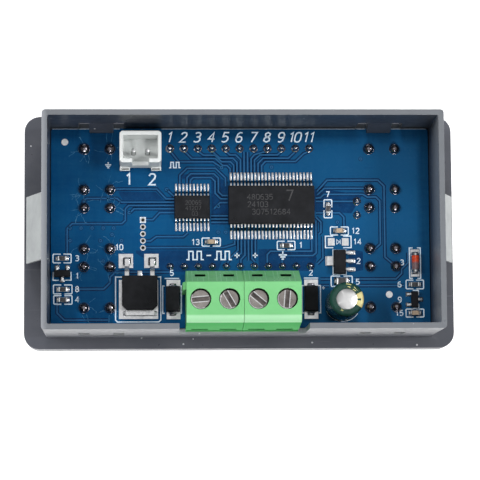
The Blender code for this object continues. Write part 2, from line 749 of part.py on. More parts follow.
def build_control_pin(number, x, look):
    bm = bmesh.new()
    side = 0.32
    add_box(bm, (x - side, x + side), (SOCKET_PIN_Y - side, SOCKET_PIN_Y + side), (9.85, 16.9))
    finish_object(f"control_pin_{number}", bm, look, smooth=False)


# ---------------------------------------------------------------- assembly


RESISTORS = (
    ("resistor_1", (8.23, -3.25), 1.6, 0.8, False),
    ("resistor_2", (-32.32, -5.54), 1.6, 0.8, False),
    ("resistor_3", (-32.16, -13.04), 1.6, 0.8, False),
    ("resistor_4", (18.27, -9.8), 2.0, 1.25, False),
    ("resistor_5", (31.57, -10.42), 1.6, 0.8, False),
    ("resistor_6", (15.91, 3.45), 1.6, 0.8, True),
    ("resistor_7", (-32.19, -11.14), 1.6, 0.8, False),
)


def main():
    clear_scene()
    plastic = make_material("housing_plastic", (0.075, 0.085, 0.105), 0.42)
    clip_plastic = make_material("clip_plastic", (0.16, 0.17, 0.18), 0.4)
    clear = make_material("clear_plastic", (0.85, 0.9, 0.92), 0.06, alpha=0.35)
    glass = make_material("display_glass", (0.12, 0.16, 0.16), 0.08)
    diffuser = make_material("diffuser", (0.85, 0.87, 0.82), 0.5)
    board_mask = make_material("board_mask", (0.004, 0.06, 0.14), 0.28)
    green = make_material("terminal_plastic", (0.16, 0.62, 0.24), 0.42)
    steel = make_material("plated_steel", (0.62, 0.6, 0.57), 0.28, metallic=1.0)
    brass = make_material("tinned_brass", (0.72, 0.66, 0.5), 0.3, metallic=1.0)
    epoxy = make_material("chip_epoxy", (0.028, 0.028, 0.033), 0.45)
    white = make_material("socket_nylon", (0.85, 0.87, 0.84), 0.45)
    sleeve = make_material("capacitor_sleeve", (0.015, 0.075, 0.05), 0.3)
    red_glass = make_material("diode_glass", (0.5, 0.09, 0.04), 0.08)
    ceramic = make_material("resistor_ceramic", (0.05, 0.05, 0.055), 0.35)
    key_looks = {
        "cap": make_material("key_plastic", (0.62, 0.63, 0.62), 0.45),
        "switch": make_material("switch_body", (0.03, 0.03, 0.032), 0.5),
        "plunger": make_material("switch_plunger", (0.05, 0.05, 0.05), 0.5),
    }

    build_housing(plastic)
    build_panel_clip(-1, "panel_clip_left", clip_plastic)
    build_panel_clip(1, "panel_clip_right", clip_plastic)
    build_display_lens(clear)
    build_display_glass(glass)
    build_backlight(diffuser)
    build_board(board_mask)
    for number, x, y in key_places():
        build_key(number, x, y, key_looks)

    build_terminal_block("terminal_block_left", -POLE_PITCH, green)
    build_terminal_block("terminal_block_right", POLE_PITCH, green)
    for number, x in pole_places():
        build_terminal_screw(number, x, steel)
        build_clamp_cage(number, x, brass)
        build_contact(number, x, brass)

    build_gull_wing_chip("controller_chip", (-8.8, 3.72), (6.5, 4.3, 12.75), 6.5, 20, 0.65, 0.22, epoxy)
    build_gull_wing_chip("display_chip", (5.55, 4.0), (15.7, 7.1, 13.9), 10.3, 48, 0.635, 0.25, epoxy)
    build_power_transistor(epoxy)
    build_power_diode("power_diode_left", -12.33, epoxy)
    build_power_diode("power_diode_right", 12.65, epoxy)
    build_regulator(epoxy)
    build_small_transistor("small_transistor_left", (-32.3, -8.3), (0, -1), epoxy)
    build_small_transistor("small_transistor_right", (31.47, -13.15), (1, 0), epoxy)
    build_zener_diode(red_glass)
    build_capacitor(sleeve)
    for name, centre, length, width, upright in RESISTORS:
        build_chip_resistor(name, centre, length, width, upright, ceramic)
    build_control_socket(white)
    for number, side in ((1, -1), (2, 1)):
        build_control_pin(number, SOCKET_X + side * 0.5 * SOCKET_PIN_PITCH, steel)


main()
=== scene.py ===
"""Looks for a panel-mount pulse driver module, seen into its open back.

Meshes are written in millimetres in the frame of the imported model, and scaled to metres as they are made.
"""

import math
import random

import bmesh
import bpy
from mathutils import Matrix, Vector


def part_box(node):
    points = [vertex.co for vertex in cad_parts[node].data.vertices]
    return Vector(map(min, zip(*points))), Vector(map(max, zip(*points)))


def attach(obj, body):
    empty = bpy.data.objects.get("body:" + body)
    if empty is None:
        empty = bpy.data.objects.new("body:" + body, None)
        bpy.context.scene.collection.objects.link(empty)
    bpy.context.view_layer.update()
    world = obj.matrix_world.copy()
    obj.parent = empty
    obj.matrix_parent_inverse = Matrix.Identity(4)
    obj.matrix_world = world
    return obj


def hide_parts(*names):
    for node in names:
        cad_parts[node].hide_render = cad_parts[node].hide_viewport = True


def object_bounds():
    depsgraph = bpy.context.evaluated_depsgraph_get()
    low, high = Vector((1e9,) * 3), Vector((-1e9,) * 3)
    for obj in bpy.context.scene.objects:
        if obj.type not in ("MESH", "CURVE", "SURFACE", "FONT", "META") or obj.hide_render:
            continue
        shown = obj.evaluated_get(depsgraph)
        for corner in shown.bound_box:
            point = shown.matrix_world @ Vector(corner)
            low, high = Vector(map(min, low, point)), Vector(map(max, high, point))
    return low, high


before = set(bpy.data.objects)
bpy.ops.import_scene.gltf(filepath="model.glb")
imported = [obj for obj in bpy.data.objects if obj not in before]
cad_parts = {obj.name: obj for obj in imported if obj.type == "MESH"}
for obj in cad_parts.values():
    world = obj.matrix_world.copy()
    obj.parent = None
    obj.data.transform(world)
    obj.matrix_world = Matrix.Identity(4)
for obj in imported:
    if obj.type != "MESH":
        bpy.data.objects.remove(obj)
cad_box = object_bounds()

MM = 0.001


def node_box(node):
    """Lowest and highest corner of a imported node, in millimetres."""
    low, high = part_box(node)
    return low / MM, high / MM


def node_centre(node):
    low, high = node_box(node)
    return 0.5 * (low + high)


BOARD_LOW, BOARD_HIGH = node_box("circuit_board")
BOARD_TOP = BOARD_HIGH.z
TRACE_Z = (BOARD_TOP + 0.004, BOARD_TOP + 0.014)
GAP_Z = (BOARD_TOP - 0.01, BOARD_TOP + 0.006)
PAD_Z = (BOARD_TOP, BOARD_TOP + 0.035)
INK_Z = (BOARD_TOP + 0.005, BOARD_TOP + 0.03)
INK_WIDTH = 0.2
WALL_OUTSIDE = Vector((35.5, 19.4))
WALL_INSIDE = Vector((34.5, 18.4))


# ---------------------------------------------------------------- materials


class Look:
    """A material being made: a Principled shader, and short ways to feed it from procedural nodes."""

    def __init__(self, name, color, roughness, metallic=0.0, **inputs):
        self.material = bpy.data.materials.new(name)
        self.material.use_nodes = True
        self.tree = self.material.node_tree
        self.shader = self.tree.nodes["Principled BSDF"]
        self.shader.inputs["Base Color"].default_value = (*color, 1.0)
        self.shader.inputs["Roughness"].default_value = roughness
        self.shader.inputs["Metallic"].default_value = metallic
        for socket, value in inputs.items():
            self.shader.inputs[socket.replace("_", " ")].default_value = value
        place = self.tree.nodes.new("ShaderNodeTexCoord")
        scaled = self.tree.nodes.new("ShaderNodeMapping")
        scaled.inputs["Scale"].default_value = (1 / MM, 1 / MM, 1 / MM)
        self.tree.links.new(place.outputs["Object"], scaled.inputs["Vector"])
        self.place = scaled.outputs["Vector"]

    def put(self, socket, value):
        """Set an input from another node's output, or from a plain value."""
        if isinstance(value, bpy.types.NodeSocket):
            self.tree.links.new(value, socket)
        else:
            socket.default_value = value

    def axes(self):
        split = self.tree.nodes.new("ShaderNodeSeparateXYZ")
        self.put(split.inputs[0], self.place)
        return split.outputs

    def math(self, operation, first, second=0.0, clamp=False):
        node = self.tree.nodes.new("ShaderNodeMath")
        node.operation = operation
        node.use_clamp = clamp
        self.put(node.inputs[0], first)
        self.put(node.inputs[1], second)
        return node.outputs[0]

    def times(self, first, second):
        return self.math("MULTIPLY", first, second)

    def plus(self, first, second):
        return self.math("ADD", first, second)

    def minus(self, first, second):
        return self.math("SUBTRACT", first, second)

    def below(self, value, limit):
        """1 where value is less than limit, and 0 elsewhere."""
        return self.math("LESS_THAN", value, limit)

    def above(self, value, limit):
        return self.math("GREATER_THAN", value, limit)

    def larger(self, first, second):
        return self.math("MAXIMUM", first, second)

    def size(self, value):
        """The value without its sign."""
        return self.math("ABSOLUTE", value)

    def within(self, value, centre, reach):
        """1 where value lies less than reach away from centre."""
        return self.below(self.size(self.plus(value, -centre)), reach)

    def span(self, value, low, high, start=0.0, end=1.0):
        """Carry a value from the range low to high onto the range start to end, held at both ends."""
        node = self.tree.nodes.new("ShaderNodeMapRange")
        for socket, number in zip(node.inputs[:5], (value, low, high, start, end)):
            self.put(socket, number)
        return node.outputs[0]

    def noise(self, scale, detail=3.0, stretch=(1.0, 1.0, 1.0), distortion=0.0):
        """Noise from 0 to 1, with scale features a millimetre, drawn out along an axis by stretch."""
        squeeze = self.tree.nodes.new("ShaderNodeMapping")
        squeeze.inputs["Scale"].default_value = tuple(1 / s for s in stretch)
        self.put(squeeze.inputs["Vector"], self.place)
        node = self.tree.nodes.new("ShaderNodeTexNoise")
        self.put(node.inputs["Vector"], squeeze.outputs["Vector"])
        node.inputs["Scale"].default_value = scale
        node.inputs["Detail"].default_value = detail
        node.inputs["Distortion"].default_value = distortion
        return node.outputs["Fac"]

    def cells(self, scale, feature="F1"):
        node = self.tree.nodes.new("ShaderNodeTexVoronoi")
        node.feature = feature
        node.inputs["Scale"].default_value = scale
        self.put(node.inputs["Vector"], self.place)
        return node.outputs["Distance"]

    def mix(self, factor, first, second):
        node = self.tree.nodes.new("ShaderNodeMix")
        node.data_type = "RGBA"
        self.put(node.inputs[0], factor)
        for socket, value in ((node.inputs[6], first), (node.inputs[7], second)):
            self.put(socket, (*value, 1.0) if isinstance(value, tuple) else value)
        return node.outputs[2]

    def blotch(self, first, second, scale, detail, low=0.3, high=0.7, most=1.0):
        """Two colours in soft patches; most is the share that the second reaches."""
        return self.mix(self.span(self.noise(scale, detail), low, high, 0.0, most), first, second)

    def color(self, value):
        self.put(self.shader.inputs["Base Color"], value)

    def rough(self, value):
        self.put(self.shader.inputs["Roughness"], value)

    def uneven(self, least, most, scale, detail, low=0.3, high=0.7):
        """Roughness that wanders between two values."""
        self.rough(self.span(self.noise(scale, detail), low, high, least, most))

    def bump(self, height, depth, strength=1.0):
        """Raise the surface by height, where a height of 1 stands depth millimetres proud."""
        node = self.tree.nodes.new("ShaderNodeBump")
        node.inputs["Strength"].default_value = strength
        node.inputs["Distance"].default_value = depth * MM
        self.put(node.inputs["Height"], height)
        previous = self.shader.inputs["Normal"]
        if previous.is_linked:
            self.put(node.inputs["Normal"], previous.links[0].from_socket)
        self.put(previous, node.outputs[0])


def moulded(name, color, shade, roughness, grain=0.004, grain_scale=4.0, **inputs):
    """Moulded plastic: two close shades in soft patches, uneven gloss, fine grain and a few scuffs."""
    look = Look(name, color, roughness, **inputs)
    look.color(look.blotch(color, shade, 0.16, 4.0))
    look.uneven(roughness - 0.06, roughness + 0.08, 0.9, 3.0, 0.25, 0.75)
    look.bump(look.noise(grain_scale, 2.0), grain)
    return look


def housing_look():
    """Slate moulded plastic, scratched and speckled, with painted light and shade: a painted highlight on the rim of
    the sleeve, paler still on its left end, painted shade deep inside the sleeve, a painted highlight on its right
    inner wall, and painted shade and light in the window cuts.
    """
    slate, dark, pale = (0.086, 0.09, 0.107), (0.062, 0.067, 0.083), (0.15, 0.161, 0.177)
    look = Look("housing_plastic", slate, 0.36)
    x, y, z = look.axes()[:3]
    side, end = look.size(y), look.size(x)
    body = look.blotch(slate, dark, 0.14, 5.0)
    scratches = look.noise(1.1, 2.0, stretch=(14.0, 0.5, 1.0), distortion=0.3)
    body = look.mix(look.span(scratches, 0.66, 0.74, 0.0, 0.35), body, (0.2, 0.21, 0.23))

    # Painted shade: inside the sleeve the walls darken towards the board.
    inside = look.times(look.below(side, WALL_INSIDE.y + 0.03),
                       look.below(end, WALL_INSIDE.x + 0.03))
    depth = look.span(z, BOARD_TOP + 0.5, BOARD_TOP + 7.0, 0.55, 0.1)
    body = look.mix(look.times(inside, depth), body, (0.014, 0.019, 0.028))
    # Painted highlight: the right inner wall pales towards its top.
    lit_wall = look.times(look.above(x, WALL_INSIDE.x - 0.1), inside)
    body = look.mix(look.times(lit_wall, look.span(z, 14.0, 25.0)), body, (0.3, 0.315, 0.335))
    # Painted shade and light in the window cuts through the walls: dark in the far (+y) wall, pale in the near wall.
    in_window = look.times(look.above(side, WALL_INSIDE.y + 0.05),
                          look.below(side, WALL_OUTSIDE.y - 0.05))
    height = look.times(look.below(z, 17.0), look.above(z, 5.0))
    in_window = look.times(in_window, height)
    window = look.mix(look.above(y, 0.0), (0.3, 0.31, 0.33), (0.012, 0.018, 0.028))
    body = look.mix(in_window, body, window)

    # Painted highlight on the top of the rim, paler still towards its left end.
    rim_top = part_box("housing")[1].z / MM
    rim = look.span(z, rim_top - 0.5, rim_top - 0.12)
    left = look.span(x, -WALL_OUTSIDE.x, -WALL_INSIDE.x, 1.0, 0.0)
    rim_highlight_color = look.blotch(pale, (0.14, 0.15, 0.165), 0.5, 4.0)
    rim_highlight_color = look.mix(look.times(left, 0.8), rim_highlight_color, (0.29, 0.303, 0.33))
    specks = look.below(look.cells(0.55), 0.1)
    specks = look.times(specks, look.above(look.noise(0.23, 2.0), 0.56))
    color = look.mix(rim, body, rim_highlight_color)
    look.color(look.mix(look.times(specks, 0.8), color, (0.62, 0.63, 0.65)))
    look.uneven(0.27, 0.42, 0.8, 4.0, 0.25, 0.75)
    look.bump(look.noise(5.0, 2.0), 0.005)
    look.bump(look.span(scratches, 0.66, 0.8), 0.004)
    return look.material


def clip_look():
    look = moulded("clip_plastic", (0.3, 0.325, 0.325), (0.2, 0.22, 0.225), 0.34)
    look.bump(look.noise(0.9, 2.0, stretch=(1.0, 8.0, 1.0)), 0.02)
    return look.material


def board_look():
    """Blue solder mask over glass weave, with bare laminate on the sawn edges; painted shade makes it deeper to the
    left, and painted shadow of the walls lies along its top and right edges.
    """
    look = Look("board_mask", (0.01, 0.09, 0.2), 0.24, Specular_IOR_Level=0.05)
    x, y, z = look.axes()[:3]
    left, right, navy = (0.0004, 0.046, 0.14), (0.008, 0.078, 0.195), (0.001, 0.02, 0.06)
    # Painted shade: the mask darkens towards the left.
    across = look.span(x, BOARD_LOW.x, BOARD_HIGH.x)
    mask = look.mix(across, left, right)
    mask = look.blotch(mask, (0.004, 0.082, 0.2), 0.22, 5.0, 0.35, 0.7, 0.3)
    # Painted shadow of the housing walls: navy bands along the top and right edges.
    top_wall_shadow = look.span(y, BOARD_HIGH.y - 3.2, BOARD_HIGH.y - 1.2, 0.0, 0.65)
    side_wall_shadow = look.span(x, BOARD_HIGH.x - 2.4, BOARD_HIGH.x - 1.2, 0.0, 0.6)
    mask = look.mix(look.larger(top_wall_shadow, side_wall_shadow), mask, navy)
    weave = look.plus(look.noise(1.6, 2.0, (9.0, 1.0, 1.0)), look.noise(1.6, 2.0, (1.0, 9.0, 1.0)))
    mask = look.mix(look.span(weave, 0.8, 1.25, 0.0, 0.14), mask, (0.012, 0.1, 0.2))
    laminate = look.mix(look.noise(2.5, 3.0, (10.0, 10.0, 0.5)), (0.33, 0.33, 0.2), (0.55, 0.56, 0.42))
    top = look.above(z, BOARD_TOP - 0.04)
    under = look.below(z, BOARD_LOW.z + 0.04)
    look.color(look.mix(look.larger(top, under), laminate, mask))
    look.uneven(0.18, 0.34, 0.6, 4.0, 0.2, 0.8)
    look.bump(weave, 0.006)
    return look.material


def trace_look():
    """Solder mask over copper: lighter and glossier than the bare board."""
    look = Look("masked_copper", (0.02, 0.16, 0.3), 0.22, Specular_IOR_Level=0.2)
    # Painted shade: the tracks darken towards the left, as on the bare board.
    across = look.span(look.axes()[0], BOARD_LOW.x, BOARD_HIGH.x)
    color = look.mix(across, (0.006, 0.075, 0.195), (0.016, 0.105, 0.24))
    look.color(look.blotch(color, (0.008, 0.085, 0.21), 0.5, 3.0, 0.3, 0.7, 0.5))
    look.uneven(0.16, 0.28, 2.0, 3.0)
    look.bump(look.noise(3.0, 3.0), 0.006)
    return look.material


def gap_look(name="masked_gap", dark=(0.0008, 0.014, 0.052), light=(0.0016, 0.028, 0.088)):
    """Solder mask straight on the laminate: a deeper navy than over copper."""
    look = Look(name, dark, 0.24, Specular_IOR_Level=0.1)
    look.color(look.blotch(dark, light, 0.6, 4.0))
    look.uneven(0.18, 0.32, 1.5, 3.0)
    return look.material


def residue_look():
    """Dried flux smeared on the mask: thin, paler and matt."""
    look = Look("flux_residue", (0.03, 0.13, 0.25), 0.6, Specular_IOR_Level=0.1)
    look.color(look.blotch((0.005, 0.07, 0.18), (0.05, 0.17, 0.3), 1.8, 4.0, 0.35, 0.65))
    look.uneven(0.45, 0.7, 2.5, 2.0)
    return look.material


def ink_look():
    look = Look("silkscreen_ink", (0.62, 0.72, 0.82), 0.5)
    look.color(look.blotch((0.5, 0.63, 0.76), (0.72, 0.8, 0.86), 1.4, 4.0))
    look.uneven(0.42, 0.62, 4.0, 2.0)
    look.bump(look.noise(6.0, 3.0), 0.008)
    return look.material


def metal_look(name, color, shade, roughness, scale=1.5, depth=0.006, stretch=(1.0, 1.0, 1.0)):
    """Plated or soldered metal: two tones in patches, smeared gloss and a fine unevenness."""
    look = Look(name, color, roughness, metallic=1.0)
    look.color(look.blotch(color, shade, scale, 4.0))
    smear = look.noise(scale * 1.7, 4.0, stretch)
    look.rough(look.span(smear, 0.25, 0.75, max(0.03, roughness - 0.09), roughness + 0.1))
    look.bump(look.noise(scale * 3.0, 3.0, stretch), depth)
    return look.material


def terminal_look():
    look = moulded("terminal_plastic", (0.19, 0.52, 0.215), (0.16, 0.47, 0.185), 0.36, 0.006, 3.0,
                   Specular_IOR_Level=0.2, Subsurface_Weight=0.12, Subsurface_Radius=(0.0006, 0.0012, 0.0006))
    flow = look.noise(0.35, 5.0, stretch=(1.0, 1.0, 6.0))
    look.bump(flow, 0.015)
    x, y, z = look.axes()[:3]
    tint = look.shader.inputs["Base Color"].links[0].from_socket
    # Painted shade: the block darkens towards its base.
    tint = look.mix(look.span(z, 15.0, 23.0, 0.4, 0.0), tint, (0.05, 0.3, 0.08))
    # The front face below the top edge gets a higher roughness, and painted shade that deepens towards its top.
    facing = look.times(look.below(y, -17.95), look.below(z, 23.2))
    front = look.times(facing, look.span(z, 13.5, 23.3, 0.45, 0.9))
    gloss = look.shader.inputs["Roughness"].links[0].from_socket
    look.rough(look.larger(gloss, look.times(facing, 0.95)))
    tint = look.mix(front, tint, (0.03, 0.3, 0.06))
    # Painted highlight along the rounded top edge of the front.
    edge = look.times(look.span(y, -16.7, -17.0), look.span(z, 22.9, 23.6))
    tint = look.mix(look.times(edge, 0.75), tint, (0.36, 0.66, 0.39))
    # Inside the wells of the screws, which stand at one pitch along the block, the light falls off.
    reach = look.minus(2.54, look.math("PINGPONG", x, 2.54))
    back = look.plus(y, 14.0)
    reach = look.plus(look.times(reach, reach), look.times(back, back))
    well = look.times(look.below(reach, 3.7), look.below(z, 24.22))
    tint = look.mix(well, tint, (0.006, 0.035, 0.012))
    # The insides of the vents behind the slope and of the wire entries are painted dark as shade.
    slope_z = look.plus(look.times(y, -7.0 / 2.6), 17.3 - 8.4 * 7.0 / 2.6 - 0.15)
    between = look.times(look.below(look.size(x), 9.9),
                        look.within(y, -9.6, 1.1))
    vent = look.times(between, look.below(z, slope_z))
    entry = look.times(look.within(z, 15.1, 1.4),
                      look.within(y, -17.0, 1.6))
    look.color(look.mix(look.larger(vent, entry), tint, (0.006, 0.03, 0.012)))
    return look.material


def epoxy_look(name="chip_epoxy", tone=(0.009, 0.0094, 0.011)):
    """Black moulding compound with a fine sparkle of filler."""
    pale = tuple(min(1.0, 1.7 * channel) for channel in tone)
    look = Look(name, tone, 0.5, Specular_IOR_Level=0.16)
    look.color(look.blotch(tone, pale, 0.7, 5.0))
    filler = look.cells(9.0)
    look.rough(look.span(filler, 0.1, 0.6, 0.44, 0.62))
    look.bump(filler, 0.01)
    return look.material


def nylon_look():
    look = moulded("socket_nylon", (0.74, 0.76, 0.745), (0.66, 0.685, 0.68), 0.4, 0.005, 3.0,
                   Subsurface_Weight=0.15, Subsurface_Radius=(0.0008, 0.0008, 0.0008))
    return look.material


def sleeve_look(centre):
    """Shrunk green sleeve with a gold polarity stripe down its +X side, broken by dark dashes."""
    look = Look("capacitor_sleeve", (0.01, 0.05, 0.035), 0.26, Specular_IOR_Level=0.35)
    x, y, z = look.axes()[:3]
    off_x, off_y = look.minus(x, centre.x), look.minus(y, centre.y)
    away = look.size(look.plus(look.math("ARCTAN2", off_y, off_x), 0.03))
    reach = look.plus(look.times(off_x, off_x), look.times(off_y, off_y))
    stripe = look.below(away, 0.5)
    on_side = look.below(look.math("FRACT", look.times(z, 0.36)), 0.42)
    on_top = look.below(reach, 2.5 * 2.5)
    on_side = look.times(on_side, look.below(z, 20.5))
    dash = look.times(look.below(away, 0.08), look.larger(on_top, on_side))
    green = look.blotch((0.008, 0.036, 0.027), (0.013, 0.056, 0.042), 0.7, 4.0)
    gold = look.blotch((0.5, 0.42, 0.19), (0.62, 0.57, 0.25), 1.2, 4.0)
    color = look.mix(look.math("SUBTRACT", stripe, dash, clamp=True), green, gold)
    look.color(color)
    look.uneven(0.15, 0.3, 1.1, 3.0)
    look.bump(look.noise(0.8, 3.0, stretch=(1.0, 1.0, 4.0)), 0.02)
    return look.material


def ceramic_look(name, color, shade, roughness=0.35):
    look = Look(name, color, roughness)
    look.color(look.blotch(color, shade, 2.2, 4.0))
    look.uneven(roughness - 0.08, roughness + 0.1, 5.0, 2.0)
    look.bump(look.noise(7.0, 2.0), 0.006)
    return look.material


def diode_glass_look():
    """Tinted glass, orange-red towards one end and smoky where the die and its leads lie inside."""
    look = Look("diode_glass", (0.5, 0.08, 0.02), 0.08, Coat_Weight=0.8, Coat_Roughness=0.04)
    middle = node_centre("zener_diode").y
    along = look.span(look.axes()[1], middle - 0.15, middle + 0.25)
    smoke = look.blotch((0.12, 0.075, 0.09), (0.2, 0.12, 0.12), 3.0, 3.0)
    amber = look.blotch((0.62, 0.07, 0.02), (0.42, 0.04, 0.015), 2.4, 3.0)
    look.color(look.mix(along, smoke, amber))
    look.uneven(0.05, 0.14, 2.0, 2.0)
    return look.material


def clear_look():
    look = Look("clear_plastic", (0.9, 0.94, 0.95), 0.05, Transmission_Weight=0.9, IOR=1.49)
    look.uneven(0.03, 0.09, 0.4, 4.0)
    look.color(look.mix(look.noise(0.3, 3.0), (0.9, 0.94, 0.95), (0.84, 0.9, 0.92)))
    look.bump(look.noise(0.5, 3.0), 0.004)
    return look.material


def liquid_crystal_look():
    """The display's polariser: grey-green with a faint iridescent unevenness."""
    look = Look("display_glass", (0.13, 0.16, 0.13), 0.12, Coat_Weight=0.6, Coat_Roughness=0.05)
    look.color(look.blotch((0.13, 0.165, 0.13), (0.17, 0.2, 0.15), 0.12, 4.0))
    look.uneven(0.08, 0.18, 0.8, 3.0)
    look.bump(look.noise(5.0, 2.0), 0.002)
    return look.material


def make_looks():
    return {
        "housing": housing_look(),
        "clip": clip_look(),
        "board": board_look(),
        "trace": trace_look(),
        "gap": gap_look(),
        "bare": gap_look("bare_laminate", (0.0008, 0.026, 0.09), (0.0016, 0.04, 0.125)),
        "residue": residue_look(),
        # Painted highlight along the top edge of the board.
        "edge_highlight": ceramic_look("board_edge_highlight", (0.34, 0.4, 0.46), (0.2, 0.25, 0.31), 0.5),
        "ink": ink_look(),
        "solder": metal_look("solder_dome", (0.3, 0.28, 0.3), (0.13, 0.125, 0.15), 0.17, 0.8, 0.05),
        # Painted shade for the floor of the screw slots.
        "slot_floor_shade": metal_look("slot_floor_shade", (0.24, 0.21, 0.2), (0.09, 0.08, 0.078), 0.3, 0.9, 0.006),
        "lead_shade": metal_look("lead_shade", (0.07, 0.07, 0.075), (0.03, 0.03, 0.034), 0.45, 1.5, 0.004),
        "joint": metal_look("pin_joint", (0.62, 0.6, 0.63), (0.3, 0.29, 0.33), 0.2, 1.1, 0.04),
        "fillet": metal_look("solder_fillet", (0.8, 0.81, 0.82), (0.42, 0.43, 0.46), 0.22, 1.2, 0.05),
        "tin": metal_look("tinned_lead", (0.9, 0.9, 0.9), (0.74, 0.75, 0.76), 0.32, 2.0, 0.006),
        "pad": metal_look("tinned_pad", (0.92, 0.92, 0.92), (0.7, 0.71, 0.73), 0.34, 1.4, 0.012),
        "steel": metal_look("plated_steel", (0.42, 0.39, 0.37), (0.25, 0.225, 0.21), 0.26, 0.5, 0.006),
        "brass": metal_look("tinned_brass", (0.7, 0.66, 0.52), (0.55, 0.5, 0.38), 0.3, 1.2, 0.01),
        "aluminium": metal_look("can_aluminium", (0.93, 0.93, 0.92), (0.8, 0.8, 0.8), 0.36, 0.6, 0.004),
        "terminal": terminal_look(),
        "rib": moulded("terminal_rib", (0.26, 0.6, 0.3), (0.2, 0.52, 0.24), 0.3).material,
        "epoxy": epoxy_look(),
        "mark": ceramic_look("chip_marking", (0.06, 0.06, 0.065), (0.02, 0.02, 0.022), 0.5),
        "nylon": nylon_look(),
        "sleeve": sleeve_look(node_centre("capacitor")),
        # Painted gold glints on the capacitor's sleeve.
        "gold_glint": ceramic_look("sleeve_gold_glint", (0.62, 0.58, 0.24), (0.5, 0.46, 0.18), 0.4),
        "resistor": ceramic_look("resistor_ceramic", (0.03, 0.03, 0.034), (0.055, 0.055, 0.06)),
        "alumina": ceramic_look("alumina_side", (0.55, 0.56, 0.55), (0.68, 0.68, 0.66), 0.5),
        "capacitor_tan": ceramic_look("capacitor_ceramic", (0.36, 0.27, 0.19), (0.46, 0.35, 0.25)),
        "diode_glass": diode_glass_look(),
        # Black rubber for the capacitor's bung, also used as painted shade in the socket's slots.
        "black_rubber_and_slot_shade": ceramic_look("capacitor_bung", (0.02, 0.02, 0.02), (0.035, 0.034, 0.032), 0.6),
        "clear": clear_look(),
        "crystal": liquid_crystal_look(),
        "segment": ceramic_look("display_segment", (0.075, 0.095, 0.08), (0.09, 0.11, 0.09), 0.2),
        "diffuser": moulded("diffuser", (0.84, 0.86, 0.8), (0.76, 0.79, 0.74), 0.5).material,
        "key": moulded("key_plastic", (0.6, 0.61, 0.6), (0.52, 0.53, 0.53), 0.42, 0.005, 5.0).material,
        "switch": moulded("switch_body", (0.03, 0.03, 0.032), (0.045, 0.045, 0.047), 0.48).material,
        "plunger": moulded("switch_plunger", (0.05, 0.048, 0.046), (0.07, 0.067, 0.064), 0.5).material,
    }


LOOKS = make_looks()


# ---------------------------------------------------------------- mesh tools


def make_piece(name, bm, looks, body="module", replaces=(), crease=32.0):
    """Make a piece in metres from a bmesh in millimetres, and let it ride on a body."""
    bmesh.ops.recalc_face_normals(bm, faces=bm.faces)
    bm.transform(Matrix.Scale(MM, 4))
    mesh = bpy.data.meshes.new(name)
    bm.to_mesh(mesh)
    bm.free()
    for look in looks:
        mesh.materials.append(LOOKS[look])
    mesh.shade_smooth()
    mesh.set_sharp_from_angle(angle=math.radians(crease))
    made = bpy.data.objects.new(name, mesh)
    bpy.context.scene.collection.objects.link(made)
    even = made.modifiers.new("even_shading", "WEIGHTED_NORMAL")
    even.keep_sharp = True
    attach(made, body)
    if replaces:
        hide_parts(*replaces)
    return made


def paint(faces, index):
    for face in faces:
        face.material_index = index


def add_prism(bm, outline, low, high, axis="z", look=0):
    """Extrude an outline along an axis: (x, y) along z, (x, z) along y or (y, z) along x."""
    place = {
        "z": lambda u, v: (u, v, low),
        "y": lambda u, v: (u, low, v),
        "x": lambda u, v: (low, u, v),
    }[axis]
    step = Vector({"z": (0, 0, 1), "y": (0, 1, 0), "x": (1, 0, 0)}[axis]) * (high - low)
    face = bm.faces.new([bm.verts.new(place(u, v)) for u, v in outline])
    grown = bmesh.ops.extrude_face_region(bm, geom=[face])["geom"]
    corners = [item for item in grown if isinstance(item, bmesh.types.BMVert)]
    bmesh.ops.translate(bm, verts=corners, vec=step)
    touched = list(dict.fromkeys([face, *(near for corner in corners for near in corner.link_faces)]))
    paint(touched, look)
    return touched


def round_edges(bm, faces, width, segments=2, angle=25.0):
    """Bevel the sharp edges of some faces."""
    edges = dict.fromkeys(edge for face in faces for edge in face.edges)
    sharp = [e for e in edges if e.is_manifold and e.calc_face_angle(0.0) > math.radians(angle)]
    look = faces[0].material_index
    made = bmesh.ops.bevel(bm, geom=sharp, offset=width, segments=segments, profile=0.5,
                           affect="EDGES", clamp_overlap=True)
    paint(made["faces"], look)


def add_box(bm, x, y, z, width=0.0, look=0, taper=0.0, segments=2):
    """A box between ranges, with rounded edges and, if wanted, sides that lean in towards the top."""
    foot = [(x[0], y[0]), (x[1], y[0]), (x[1], y[1]), (x[0], y[1])]
    faces = add_prism(bm, foot, z[0], z[1], look=look)
    if taper:
        centre = Vector((0.5 * (x[0] + x[1]), 0.5 * (y[0] + y[1])))
        upper = [v for face in faces for v in face.verts if v.co.z > 0.5 * (z[0] + z[1])]
        for corner in dict.fromkeys(upper):
            corner.co.x -= math.copysign(taper, corner.co.x - centre.x)
            corner.co.y -= math.copysign(taper, corner.co.y - centre.y)
    if width:
        bm.normal_update()
        round_edges(bm, faces, width, segments)


def add_turned(bm, profile, centre, steps=24, look=0, wobble=None):
    """Turn a profile of (radius, z) points about an upright axis; wobble(turn) adds a share to each radius."""
    rings = []
    for radius, z in profile:
        if radius < 1e-6:
            rings.append([bm.verts.new((centre[0], centre[1], z))])
            continue
        ring = []
        for step in range(steps):
            turn = math.tau * step / steps
            reach = radius * (1.0 + wobble(turn)) if wobble else radius
            x, y = centre[0] + reach * math.cos(turn), centre[1] + reach * math.sin(turn)
            ring.append(bm.verts.new((x, y, z)))
        rings.append(ring)
    for lower, upper in zip(rings, rings[1:]):
        for step in range(steps):
            following = (step + 1) % steps
            corners = [lower[step % len(lower)], lower[following % len(lower)],
                       upper[following % len(upper)], upper[step % len(upper)]]
            corners = list(dict.fromkeys(corners))
            if len(corners) > 2:
                bm.faces.new(corners).material_index = look


